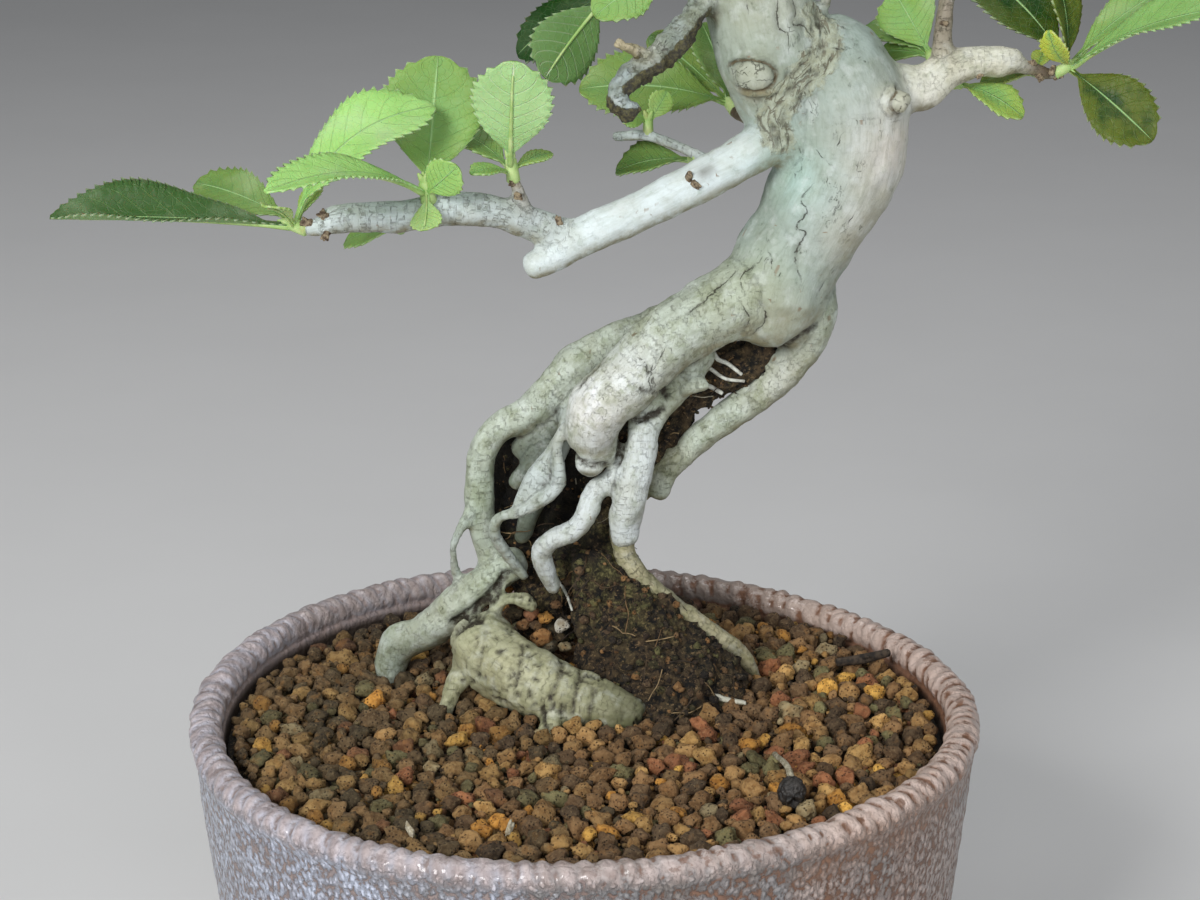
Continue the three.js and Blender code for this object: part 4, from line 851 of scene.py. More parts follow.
def add_cracks(vertices, lift):
    """Dents the bark along each crack. Returns the distance from the nearest crack, in widths of that crack
    and with a sign, and how far the crack is open."""
    nearest = np.full(len(vertices), FAR)
    signed, opened = nearest.copy(), np.zeros(len(vertices))
    for line, width, depth in CRACKS:
        gap, side, share = distance_to_line(vertices, line)
        fade = np.sin(np.clip(share, 0.02, 0.98) * math.pi) ** 0.4
        lift += depth * fade * (0.3 * np.exp(-((gap - 1.1) / 0.5) ** 2) - 0.6 * np.exp(-(gap / 0.5) ** 2))
        closer = gap < nearest
        nearest[closer] = gap[closer]
        signed[closer] = (side * gap / width)[closer]
        opened[closer] = (fade * np.exp(-gap ** 2))[closer]
    return signed, opened


def add_crevices(vertices, normals, lift):
    """Presses in the bark where two limbs only touch. Returns how much painted shade lies there."""
    crevice_shade = np.zeros(len(vertices))
    for line, width, middle, dark in CREVICES:
        near = (np.abs(vertices[:, 1] - middle) < 5) & (normals[:, 1] < 0.3)
        gap, _, share = distance_to_line(vertices[near], line)
        gap = gap + 0.3 * noise_at(vertices[near], 0.5, 14)
        deep = np.exp(-(gap / width) ** 2) * smooth_step(0.0, 0.12, share) * smooth_step(1.0, 0.88, share)
        lift[near] -= 1.1 * width * deep
        crevice_shade[near] = np.maximum(crevice_shade[near], dark * smooth_step(0.25, 0.75, deep))
    return crevice_shade


def add_cuts(vertices, lift):
    """Rims and hollows of the cut faces. Returns the place on the nearest cut face, in half sizes, and how
    much the bark there faces as the cut does."""
    cut = np.tile((FAR, FAR, 0.0), (len(vertices), 1))
    for middle, size in CUTS:
        across = (vertices[:, 0] - middle[0]) / size[0]
        up = (vertices[:, 2] - middle[2]) / size[1]
        ring = np.hypot(across, up)
        facing = smooth_step(2.0, 0.8, np.abs(vertices[:, 1] - middle[1]) / 2.4)
        rim, groove = np.exp(-((ring - 1.22) / 0.16) ** 2), np.exp(-((ring - 1.0) / 0.1) ** 2)
        lift += facing * 0.4 * (rim - groove)
        lift += facing * (ring < 0.9) * 0.25 * noise_at(vertices, 0.9, 9)
        here = (ring < 1.8) & (facing > 0)
        cut[here] = np.stack([across, up, facing], axis=1)[here]
    return cut


def add_callus(vertices, lift):
    """Raises the ridges of the callus. Returns the place across and along it, and how far inside it is."""
    gap, side, share = distance_to_line(vertices, CALLUS_LINE)
    inside = np.exp(-(gap / CALLUS_WIDTH) ** 4) * smooth_step(0.0, 0.06, share) * smooth_step(1.0, 0.9, share)
    furrow = np.abs(np.sin(gap * 1.7 + 2.2 * noise_at(vertices, 0.3, 7)))
    lift += inside * (0.5 * furrow - 0.2 + 0.35 * noise_at(vertices, 0.8, 8))
    return np.stack([side * gap * MM, share * CALLUS_LENGTH * MM, inside], axis=1)


def add_stains(vertices, tone):
    """The tone of the bark with the larger patches on it."""
    for middle, reach, colour, strength in STAINS:
        share = strength * np.exp(-(((vertices - middle) ** 2).sum(axis=1)) / reach ** 2)[:, None]
        tone = tone * (1 - share) + np.array(srgb(colour)) * share
    return tone


def build_wood():
    """Grows one skin over all the limbs, presses the bark's own relief into it and marks what lies on it."""
    vertices, faces, edges = wood_skin()
    vertices = relaxed(vertices, edges, 4)
    seam = ((relaxed(vertices, edges, 8) - vertices) * normals_of(vertices, faces)).sum(axis=1)
    seam = relaxed(np.clip(seam * 4 - 0.25, 0, 1), edges, 1)[:, 0]
    vertices = filleted(vertices, faces, edges, 11)
    count = len(vertices)
    habits, limb = limb_values(vertices)
    habits = relaxed(habits, edges, 16)
    lumps, folds, spacing, cracks, wrinkles, moss, grime, rot = habits[:, 3:].T
    normals = normals_of(vertices, faces)
    lift = lumps * (1.1 * noise_at(vertices, 0.13, 1) + 0.6 * noise_at(vertices, 0.4, 2))
    turn = limb[:, 2] / spacing + 1.3 * noise_at(vertices, 0.24, 3)
    fold = np.abs(turn % 1 - 0.5) * 2
    patchy = np.clip(0.55 + 1.8 * noise_at(vertices, 0.2, 4), 0, 1.3)
    lift -= folds * patchy * (smooth_step(0.62, 1.0, fold) - 0.3)
    crease = smooth_step(0.78, 1.0, fold) * patchy * np.clip(folds * 3, 0, 1)
    front = (vertices[:, 1] < 12) & (vertices[:, 2] > 100) & (normals[:, 1] < 0.2)
    crack_gap, crack_open, callus = np.full(count, FAR), np.zeros(count), np.zeros((count, 3))
    seen_lift = lift[front]
    crack_gap[front], crack_open[front] = add_cracks(vertices[front], seen_lift)
    callus[front] = add_callus(vertices[front], seen_lift)
    lift[front] = seen_lift
    cut = add_cuts(vertices, lift)
    crevice = add_crevices(vertices, normals, lift)
    under = smooth_step(-0.05, -0.8, normals[:, 2])
    rotten_wood = smooth_step(0.5, 0.9, rot)
    rot = rot * smooth_step(0.5, -0.25, normals[:, 2])
    lift += (0.15 * rotten_wood + np.clip(rot - 0.5, 0, 1)) * (1.1 * noise_at(vertices, 0.8, 10, 3) + 0.2)
    lift -= 0.45 * seam * np.clip(grime * 1.5, 0, 1)
    vertices = vertices + normals * lift[:, None]
    # Painted shade: how sunken the skin is, with the creases of folds, the seams between limbs and the
    # crevices, darkens the bark.
    hollow = ((relaxed(vertices, edges, 14) - vertices) * normals_of(vertices, faces)).sum(axis=1)
    hollow = relaxed(np.clip(hollow * 3.6 - 0.13, 0, 1), edges, 1)[:, 0]
    hollow = np.clip(hollow + 0.9 * crease + 1.4 * seam * grime + 1.3 * crevice, 0, 1)
    moss = np.clip(moss + smooth_step(64, 57, vertices[:, 2]) * 0.5, 0, 1)
    shape = Shape()
    shape.add(vertices, faces, tone=add_stains(vertices, habits[:, :3]), limb=limb * MM, cracks=cracks,
              wrinkles=wrinkles, moss=moss, grime=grime, rot=rot, under=under, hollow=hollow, callus=callus,
              cut=cut, crack_gap=crack_gap, crack_open=crack_open)
    shape.settle("photinia_wood", "bark", "wood", bark_material())
    return vertices


# Dormant buds and rough bud scars: place, size, and the way each one points
BUDS = [
    ((16.6, 3.2, 149.6), 1.35, (0, -0.5, 1)), ((17.4, 2.9, 148), 1.2, (0.3, -1, -0.2)),
    ((-3.3, 0.6, 144), 1.1, (-0.2, -0.2, 1)), ((-25.8, -6.4, 142.4), 1.15, (0, -1, -0.4)),
    ((-24.5, -5.8, 146.8), 1.3, (0.3, -0.5, 1)), ((-23.2, -5.4, 145.2), 1, (0.6, -1, 0)),
    ((-40.4, -6.6, 145.6), 1.2, (-0.4, -0.4, 1)), ((-40, -7, 142), 1.2, (-0.3, -0.5, -1)),
    ((-42.4, -6.4, 143.8), 1.3, (-1, -0.2, 0.2)), ((-10, 0.1, 146.6), 1.1, (0.3, -0.8, 0.5)),
    ((-11.3, 0.4, 148.6), 0.9, (-0.6, -0.4, 0.6)), ((75.8, 20, 163.2), 1.1, (0.4, 0, 1)),
    ((77, 20.6, 161.6), 1.1, (1, -0.1, 0)), ((72.2, 19, 164), 1, (0, -0.6, 1)),
    ((73.4, 19.2, 161.6), 1, (0.2, -0.5, -1)), ((63.5, 16.2, 162.4), 0.9, (0, -0.8, -0.6)),
    ((57.4, 16.2, 171), 0.9, (-0.6, -0.4, 0.4)), ((58.8, 18.4, 177.5), 0.9, (0.6, -0.4, 0.4)),
]


def build_buds(bark):
    """Buds, each moved onto the nearest place of the bark."""
    shape = Shape()
    draw = random.Random(SEEDS["buds"])
    for place, size, way in BUDS:
        place = Vector(bark[np.linalg.norm(bark - place, axis=1).argmin()])
        way = Vector(way).normalized()
        for _ in range(5):
            lean = (way + random_way(draw, 0.45)).normalized()
            tip = draw.uniform(0.6, 0.95)
            scale = [(*(place + lean * size * along), radius * size)
                     for along, radius in ((-0.6, 0.42), (0.15, 0.48), (tip, 0.14))]
            shape.add(*tube(scale, 0.4, 8))
    husk = plain_material("bud_scales", (66, 50, 36), (158, 142, 116), 0.8, 0.8, 0.25)
    shape.settle("bark_buds", "bark", "wood", husk)


# Sprays at the ends of twigs: the stem's path, then the leaves. A leaf has its base, its tip, the way its
# upper face looks, its width, the bow of its midrib as a share of the length, the angle in degrees by which
# each half rises, its shade from dark (0) to pale, which is partly its own tint and partly painted light,
# with values below 0 for painted shadow on a leaf in shade, and how yellow it is.
SPRAYS = {
    "spray_left_tip": ([(-43, -6, 143, 1.2), (-45.5, -5, 143.6, 1)], [
        ((-44.8, -5.2, 143.4), (-82.2, -8, 145.4), (0, -0.38, 0.92), 13.2, 0.02, 48, 0.08, 0),
        ((-45, -4.5, 143.8), (-61.4, 6, 147.6), (-0.3, -0.5, 0.8), 8.6, 0.08, 18, 0.3, 0.1),
        ((-44.9, -4.4, 143.8), (-23.2, 0.5, 161), (-0.45, -0.62, 0.62), 12.6, 0.22, 12, 1, 0),
        ((-44.8, -6, 143.8), (-48.7, -12, 148.2), (-0.3, -0.5, 0.8), 4.5, 0.1, 10, 0.7, 0.3),
        ((-44.6, -4.5, 144), (-41, -1, 148.8), (-0.4, -0.5, 0.8), 3.4, 0.1, 10, 0.6, 0.3),
    ]),
    "spray_left_middle": ([(-24, -4.4, 147, 1.3), (-24.6, -4.8, 150, 1)], [
        ((-24.4, -4.6, 148.8), (-22.7, 6, 167.8), (0.05, -1, 0.2), 16, -0.1, 10, 0.55, 0.1),
        ((-24.8, -5.6, 149), (-46.8, -27.5, 154), (0.35, -0.05, 0.93), 8.4, 0.1, 24, 1, 0),
        ((-24.4, -5.4, 148.4), (-19.4, -8.5, 153.4), (0.2, -0.9, 0.3), 6.5, 0.06, 10, 0.75, 0.1),
        ((-24.2, -5.4, 148), (-24.5, -10.5, 143.8), (0, -0.6, -0.7), 5, 0.1, 10, 0.8, 0.2),
    ]),
    "spray_left_spur": ([(-11, 1, 149, 1.1), (-11.4, 1, 152.4, 0.9)], [
        ((-11.4, 0.8, 151.8), (-10.6, -6, 169.3), (0.1, 1, 0.2), 12.4, -0.05, 9, 0.7, 0),
        ((-11.6, 1.4, 151), (-20.5, 9, 155.3), (0.3, -0.5, 0.8), 7.5, 0.08, 15, 0.35, 0.1),
        ((-11.6, 0.8, 150.6), (-17.4, -4, 151.4), (0, -0.3, 0.95), 4.2, 0.08, 12, 0.6, 0.1),
        ((-11.2, 1.2, 150.8), (-5, 5, 152.6), (0, -0.3, 0.95), 3.6, 0.08, 12, 0.5, 0.2),
    ]),
    "spray_under_left": ([(-28, -1.5, 143, 1.1), (-29, 3.5, 140.6, 0.9)], [
        ((-28.8, 2.6, 141), (-38.2, 7.5, 137.6), (0, -0.5, 0.85), 6.6, 0.08, 12, 0.75, 0.1),
    ]),
    "spray_low_twig": ([(18.3, 13.5, 150, 0.9), (17.4, 18.5, 148.4, 0.8)], [
        ((17.6, 17.8, 148.6), (5.2, 21, 145.9), (0, -0.5, 0.85), 7.6, 0.1, 24, 0.3, 0.1),
    ]),
    "spray_low_twig_tip": ([(10.4, 17.9, 152.6, 0.9), (10.4, 18, 155, 0.8)], [
        ((10.2, 18, 154.8), (5.4, 15, 157), (-0.3, -0.7, 0.6), 5, 0.1, 12, 0.6, 0.1),
        ((10.6, 18, 154.8), (13.4, 19, 159.6), (0.2, -0.8, 0.4), 4, 0.1, 12, 0.6, 0.2),
    ]),
    "spray_back_twig": ([(25, 28, 154.4, 1.1), (23.8, 31.5, 155.4, 0.9)], [
        ((24.2, 30.8, 155.2), (-0.7, 27.5, 158.3), (0, -0.75, 0.65), 12.5, 0.13, 16, 0.35, 0.15),
        ((24, 31.4, 155.6), (19.5, 34, 168), (0.6, -0.8, 0.1), 9, 0.06, 14, 0.25, 0.1),
        ((23.8, 31.4, 155.4), (11, 36.5, 165.5), (0, -0.8, 0.6), 9.5, 0.1, 14, 0.3, 0.2),
    ]),
    "spray_hanging": ([(5, 31, 174.6, 1), (3.4, 31, 171.8, 0.9)], [
        ((3.8, 30.6, 173), (-6.4, 25, 160.6), (0.35, 0.75, 0.55), 11.5, 0.08, 10, -0.25, 0),
        ((3.6, 31.2, 173), (-11, 35, 162.5), (-0.6, -0.6, 0.5), 9.5, 0.08, 14, -0.15, 0),
        ((3.6, 31.4, 173.2), (-9, 40, 176), (-0.1, -0.4, 0.9), 10, 0.12, 16, 0.55, 0.1),
    ]),
    "spray_hanging_inner": ([(13.5, 29, 177.4, 1.1), (13.4, 26.4, 175.6, 0.9)], [
        ((13.4, 27, 176), (1.8, 21, 171.4), (0.1, -0.6, 0.8), 10.5, 0.14, 14, 0.6, 0.1),
    ]),
    "spray_right_tip": ([(76.2, 20.9, 162, 1), (79, 21, 163.6, 0.9)], [
        ((78.4, 20.8, 162.9), (90.9, 12, 152.9), (-0.35, -0.75, 0.55), 10.5, 0.12, 9, -0.4, 0.3),
        ((78.6, 20.6, 163.3), (102.9, 10.5, 174.6), (-0.35, -0.3, 0.9), 10, 0.08, 32, 0.6, 0),
        ((78.6, 21.2, 163.5), (98.4, 25, 177), (-0.5, -0.4, 0.75), 10, 0.08, 24, 0.5, 0.1),
        ((78.3, 20.6, 163.5), (73.9, 15, 169.9), (-0.5, -0.8, 0.2), 4.4, 0.12, 12, 0.7, 0.9),
        ((78.3, 21.6, 163.6), (76.5, 27.5, 177.5), (0.75, -0.65, 0.1), 8.5, 0.06, 16, -0.2, 0.3),
        ((78.2, 21.6, 163.3), (63.5, 34, 177), (0.25, -0.75, 0.6), 14, 0.12, 12, -0.35, 0.15),
    ]),
    "spray_right_spur": ([(73.6, 20.3, 162.6, 0.9), (73.2, 22.8, 161.8, 0.8)], [
        ((73.3, 22.4, 161.8), (64.8, 26, 159.4), (0, -0.6, 0.8), 5.2, 0.1, 14, 0.4, 0.4),
        ((73.3, 22.6, 162), (75.2, 25.6, 165), (-0.4, -0.8, 0.5), 3.4, 0.1, 12, 0.5, 0.6),
    ]),
    "spray_right_back": ([(56.4, 18, 163, 1.1), (56.2, 23.4, 164.8, 0.9)], [
        ((56.2, 22.8, 164.8), (51, 31, 173.5), (-0.3, -0.8, 0.5), 10, 0.08, 12, 0.6, 0.1),
        ((56, 22.8, 164.6), (48.4, 31, 163.4), (-0.2, -0.5, 0.8), 7, 0.08, 16, 0.5, 0.1),
        ((56.2, 22.8, 164.6), (47.4, 38.5, 167), (-0.2, -0.4, 0.9), 8, 0.1, 16, 0.45, 0.1),
    ]),
    "spray_right_under": ([(60.5, 18.5, 162.5, 1), (60.6, 21.2, 160.2, 0.8)], [
        ((60.6, 20.8, 160.5), (70.5, 15.5, 156), (0.1, -0.6, 0.8), 6.4, 0.1, 18, 0.6, 0.3),
    ]),
}

# Sprays of the crown: the end of the twig, the way it points, how many leaves, their length, and a seed
CROWN_SPRAYS = {
    "spray_crown_left_tip": ((-64, 2, 206.5), (-1, -0.1, 0.06), 5, 38, 12),
    "spray_crown_left_upper": ((-15, 12, 211), (-0.35, 0.2, 1), 4, 25, 23),
    "spray_crown_left_front": ((-35, -4, 209), (-0.4, -0.8, 0.7), 4, 24, 3),
    "spray_crown_right_twig": ((60, 21, 192), (0.3, 0.15, 1), 4, 20, 41),
    "spray_crown_right": ((59, 8, 213.5), (1, -0.1, 0.4), 5, 30, 53),
    "spray_crown_back": ((34, 44, 215), (0.15, 1, 0.4), 3, 18, 61),
    "spray_crown_front": ((15.5, -5, 217), (-0.4, -1, 0.6), 4, 25, 71),
    "spray_crown_apex": ((25, 12.5, 228), (-0.15, -0.1, 1), 4, 22, 83),
    "spray_crown_apex_side": ((37.5, 16, 227), (0.8, 0.2, 0.8), 4, 24, 97),
}
GOLDEN_ANGLE = math.radians(137.5)
# The order of a spray's materials
UPPER_FACE, LOWER_FACE, SHOOT = range(3)


def crown_spray(start, heading, count, length, seed):
    """The stem and leaves of one spray, with the leaves set round the shoot by the golden angle."""
    draw = random_from(seed)
    shoot = Vector(heading).normalized()
    sideways = Vector((0, 0, 1)).cross(shoot)
    side = (sideways if sideways.length > 0.3 else Vector((1, 0, 0))).normalized()
    start = Vector(start)
    end = start + shoot * (0.6 + 1.5 * count)
    leaves = []
    for i in range(count):
        opening = math.radians(22 + 48 * i / count)
        out = Quaternion(shoot, GOLDEN_ANGLE * i + draw()) @ side
        way = shoot * math.cos(opening) + out * math.sin(opening)
        way.z += 0.15
        way.normalize()
        reach = length * (1 - 0.08 * i) * (0.9 + 0.2 * draw())
        base = end + shoot * (-0.8 - i * 1.5) + out * 0.4
        up = shoot - out * 0.6
        up.z += 0.9
        fold = 14 + 10 * draw()
        shade = 0.65 - 0.1 * i + 0.2 * math.sin(seed + 2.3 * i)
        leaves.append((base, base + way * reach, up, reach * 0.46, 0.1, fold, shade, 0.15))
    return [(*start, 1.0), (*end, 0.8)], leaves


def leaf_share(along):
    """Half width of a leaf at a share of its length: a stalk, a wedge, widest past the middle."""
    blade = max(0.0, (along - 0.1) / 0.9)
    return (blade / 0.6) ** 1.1 * ((1 - blade) / 0.4) ** 0.73


def add_leaf(shape, spec, seed):
    """A serrate blade with an upper and a lower face, and a raised midrib and stalk below it."""
    draw = random.Random(seed)
    start, tip, above, width, arch, fold, shade, yellow = spec
    start = Vector(start)
    ahead = Vector(tip) - start
    length = ahead.length
    ahead /= length
    above = Vector(above)
    above = (above - ahead * above.dot(ahead)).normalized()
    across = ahead.cross(above)
    fold = math.radians(fold)
    tooth = min(0.85, 0.036 * length)
    rows, columns = 3 * max(9, round(length * 0.74)), 5
    phase, wave = draw.uniform(0, 6), draw.uniform(0.3, 0.7) * width / 14
    curl = draw.uniform(-0.05, 0.08)

    def point(along, side):
        half = max(0.42, 0.5 * width * leaf_share(min(along, 0.995)))
        edge = abs(side)
        bow = length * arch * 4 * along * (1 - along)
        rise = (math.hypot(side * half, 0.35 * half) - 0.35 * half) * math.sin(fold)
        pleat = math.cos(FULL_TURN * (along * SIDE_VEINS - 1.8 * edge ** VEIN_BEND))
        pleat *= 0.16 * min(1, half / 5) * edge * (1 - edge ** 3)
        ripple = wave * math.sin(along * 11 + phase + (1.7 if side > 0 else 0)) * edge ** 2 * min(1, half / 4)
        height = bow + rise + pleat + ripple - curl * half * edge ** 3
        return start + ahead * (length * along) + above * height + across * (side * half * math.cos(fold))

    top, veins = [], []
    for row in range(rows + 1):
        along = row / rows
        rise = (0.0, 0.3, 1.0)[row % 3]
        for column in range(-columns, columns + 1):
            side = column / columns
            spot = point(along, side)
            at_edge = abs(column) == columns
            if at_edge and 0.14 < along < 0.985:
                size = tooth * min(1, leaf_share(along) * 1.6)
                spot += across * (size * (0.95 * rise - 0.2) * side) + ahead * (0.7 * size * rise)
            top.append(spot)
            veins.append((abs(side) + (0.12 * rise if at_edge else 0), along, length * along))
    count, wide = len(top), 2 * columns + 1
    upper = quads(rows + 1, wide, round_columns=False)
    lower = [tuple(corner + count for corner in face) for face in flipped(upper)]
    rim = []
    for row in range(rows):
        a, b = row * wide, row * wide + wide - 1
        rim += [(a, a + count, a + wide + count, a + wide), (b, b + wide, b + wide + count, b + count)]
    for a in range(wide - 1):
        b = rows * wide + a
        rim += [(a, a + 1, a + 1 + count, a + count), (b, b + count, b + 1 + count, b + 1)]
    slots = [UPPER_FACE] * len(upper) + [LOWER_FACE] * len(lower) + [UPPER_FACE] * len(rim)
    shape.add(top + [spot - above * BLADE_THICKNESS for spot in top], upper + lower + rim, slots,
              vein=veins + veins, shade=shade, yellow=yellow)
    rib = []
    for along in (0.0, 0.05, 0.12, 0.3, 0.5, 0.7, 0.88):
        spot = point(along, 0) - above * (0.12 + BLADE_THICKNESS)
        radius = (0.55 if along < 0.12 else 0.42) * (1 - 0.7 * along) * min(1, length / 18)
        rib.append((*spot, max(0.16, radius)))
    add_shoot(shape, rib, 1.4, 7)


def add_shoot(shape, points, step, sides):
    """Adds a tube of a spray, with the traits of leaves at zero."""
    shape.add(*tube(points, step, sides), SHOOT, vein=(0, 0, 0), shade=0, yellow=0)


def build_spray(name, spray, materials, seed):
    """The green stem with its bud, and the leaves of one spray."""
    shape = Shape()
    stem, leaves = spray
    add_shoot(shape, stem, 0.8, 12)
    top = Vector(stem[-1][:3])
    ahead = (top - Vector(stem[0][:3])).normalized()
    for k in range(3):
        way = ahead + Vector((math.sin(2.1 * k), math.cos(2.1 * k), 0.2)) * 0.5
        bud = [(*(top + way * along), radius) for along, radius in ((-0.6, 0.5), (0.6, 0.62), (1.5, 0.2))]
        add_shoot(shape, bud, 0.5, 8)
    for i, spec in enumerate(leaves):
        add_leaf(shape, spec, seed * 31 + i)
    shape.settle("leaves_" + name.removeprefix("spray_"), "leaf", name, *materials)


# The pot

def pot_profile():
    """Radius, height, then how far the place lies on the beaded wall, on the rim and inside."""
    rim_middle, rim_height = POT_RADIUS - RIM_TUBE, POT_HEIGHT - RIM_TUBE
    inner_radius = BASE_RADIUS - WALL_THICKNESS
    rows = [(radius, FOOT_HEIGHT, 0, 0, 1) for radius in (DRAIN_RADIUS, 30, BASE_RADIUS - 3)]
    rows.append((BASE_RADIUS - 1, FOOT_HEIGHT + 0.5, 0.5, 0, 0.4))
    wall_low, wall_high = FOOT_HEIGHT + 1.8, rim_height - 2.1
    for share in np.linspace(0, 1, 48):
        radius = BASE_RADIUS + (POT_RADIUS - 0.7 - BASE_RADIUS) * share ** 0.9
        rows.append((radius, wall_low + (wall_high - wall_low) * share, 1, 0, 0))
    for degrees in range(-36, 205, 12):
        angle = math.radians(degrees)
        rows.append((rim_middle + RIM_TUBE * math.cos(angle), rim_height + RIM_TUBE * math.sin(angle),
                     1 - smooth_step(-10, 40, degrees),
                     smooth_step(-30, 10, degrees) * smooth_step(215, 170, degrees), 0))
    for share in np.linspace(0, 1, 12):
        rows.append((POT_RADIUS - WALL_THICKNESS - 0.3 - 1.4 * share, rim_height - 1.3 - 8 * share, 0, 0,
                     smooth_step(0, 0.2, share)))
    rows += [(inner_radius, FLOOR_TOP + 4, 0, 0, 1), (inner_radius - 4, FLOOR_TOP, 0, 0, 1),
             (DRAIN_RADIUS, FLOOR_TOP, 0, 0, 1)]
    return np.array(rows)


def build_pot():
    """The pot, with a ridged rim, an uneven wall that waves at the top, and three feet."""
    columns = 6 * RIM_RIDGES
    profile = pot_profile()
    rows = len(profile)
    turn = np.linspace(0, FULL_TURN, columns, endpoint=False)
    radius, height, wall, rim, inside = (np.tile(column, (columns, 1)) for column in profile.T)

    def ring_noise(scale, step, count, start=0):
        """Noise round the pot. Each of count rows lies a step above the one before it."""
        return np.array([[noise.noise(Vector((math.cos(t) * scale, math.sin(t) * scale, step * k + start)))
                          for k in range(count)] for t in turn])

    # The ridges of the rim slant, and they stand closer on the far and the left side.
    crowd = (turn + 0.09 * np.sin(turn + 0.6))[:, None]
    first = int(np.argmax(profile[:, 3] > 0))
    phase = RIM_RIDGES * crowd + 3.6 * ring_noise(9, 0, 1, 4) + 0.3 * (np.arange(rows)[None] - first)
    ridge = np.abs(np.cos(phase / 2)) ** 0.8
    patchy = ring_noise(15, 0.35, rows)
    lumps = ring_noise(30, 0.16, rows)
    strength = np.clip(0.8 + 2.2 * patchy, 0.05, 1.4)
    swell = rim * ((ridge - 0.62) * 0.48 * strength + 0.12 * patchy + 0.34 * lumps)
    out_x, out_z = radius - (POT_RADIUS - RIM_TUBE), height - (POT_HEIGHT - RIM_TUBE)
    size = np.maximum(np.hypot(out_x, out_z), 1e-6)
    radius = radius + swell * out_x / size
    height = height + swell * out_z / size
    # The hand-made wall is a little uneven.
    wall_middle = 62
    for i, k in zip(*np.nonzero(wall)):
        spot = Vector((math.cos(turn[i]) * wall_middle, math.sin(turn[i]) * wall_middle, profile[k, 1]))
        bumps = sum(depth * noise.noise(spot * scale)
                    for depth, scale in ((0.35, 0.06), (0.16, 0.35), (0.14, 0.9)))
        radius[i, k] += wall[i, k] * (bumps - 0.1)
    wave = smooth_step(POT_HEIGHT - 20, POT_HEIGHT - 5, height)
    height = height - RIM_WAVE * np.sin(2 * turn)[:, None] * wave
    vertices = np.stack([radius * np.cos(turn)[:, None], radius * np.sin(turn)[:, None], height], axis=2)
    crest = rim * (1 - 1.1 * (1 - ridge) ** 0.8 * np.clip(strength, 0.4, 1))
    shape = Shape()
    shape.add(vertices.reshape(-1, 3), quads(columns, rows, round_rows=True), wall=wall.ravel(),
              inside=inside.ravel(), crest=crest.ravel())
    for middle in (30, 150, 270):
        add_foot(shape, math.radians(middle))
    shape.settle("beaded_pot", "glaze", "pot", glaze_material())


def add_foot(shape, middle):
    """One plain foot: a bent block with rounded edges under the pot's floor."""
    section = [(42, 6), (42, 0.9), (42.9, 0), (49.3, 0), (50.2, 0.9), (51.6, 6)]
    spread = math.radians(22)
    steps, size = 18, len(section)
    vertices = []
    for i in range(steps + 1):
        angle = middle + spread * (2 * i / steps - 1)
        x, y = math.cos(angle), math.sin(angle)
        vertices += [(radius * x, radius * y, height) for radius, height in section]
    faces = flipped(quads(steps + 1, size, round_columns=False))
    faces.append(tuple(range(size - 1, -1, -1)))
    faces.append(tuple(steps * size + k for k in range(size)))
    shape.add(vertices, faces, wall=0.6, inside=0, crest=0)


# The soil

# Tones of the clay grains, and how often each one comes
GRAIN_TONES = [
    ((118, 90, 58), 22), ((136, 106, 66), 20), ((94, 73, 50), 20), ((152, 120, 72), 12),
    ((166, 118, 52), 5), ((184, 142, 68), 3), ((98, 93, 62), 9), ((68, 54, 38), 14), ((126, 82, 54), 7),
    ((132, 118, 88), 3),
]
# Grains caught between the front root and the old root ball: x, z, size and tone
POCKET = [
    (-13.1, 71.6, 2.6, (210, 140, 66)), (-12, 69.4, 3.3, (98, 86, 64)), (-8.9, 70, 3, (160, 112, 80)),
    (-6.6, 69.5, 3, (204, 150, 76)), (-10.2, 67.8, 2.8, (150, 112, 74)), (-7.1, 66.4, 4, (178, 132, 82)),
    (-3.9, 68.5, 3.3, (206, 202, 188)), (-6, 64.8, 3.5, (124, 118, 98)),
    (-10.9, 71.3, 2.1, (124, 98, 70)), (-8.3, 68.3, 2.1, (96, 76, 54)),
    (-3.4, 64.4, 2.5, (160, 148, 116)), (-4.8, 71.6, 2, (120, 90, 60)),
]
# Pale rootlets on the old root ball and in the gap under the trunk, each as points (x, z)
PALE_ROOTLETS = [
    [(-8.4, 78.2), (-7.2, 77.3), (-6.2, 76.7), (-4.4, 75.7), (-3, 74.4), (-2.1, 73.3)],
    [(18.3, 116), (19.5, 115), (20.8, 114.2), (23.2, 112.9), (26.3, 112.5)],
    [(21.1, 117.1), (22, 115.9), (23.4, 115.4), (25.8, 113.8)],
    [(17.4, 110.4), (19.9, 111.5), (22.7, 110.4)],
]
TOP_GRAIN_SIZES = (1.7, 2.1, 2.5, 2.8, 3.1, 3.5, 3.9)
# How many grains of each layer look for a place, and how often each one tries
TOP_GRAINS, LARGE_GRAINS, LOWER_GRAINS, FINE_GRAINS = 3200, 12, 2000, 2600
TRIES = 14
ROOTLETS = 170
CRUMBS = 1400
# How many different pebbles and crumbs there are, and how deep the packed soil lies under the surface
PEBBLE_KINDS = 7
CRUMB_KINDS = 6
BED_DEPTH = 1.9


def soil_height(x, y):
    """Height of the soil's surface, a little heaped round the roots."""
    return SOIL_TOP + 1.6 * math.exp(-(((x - 5) / 32) ** 2) - ((y - 12) / 26) ** 2)


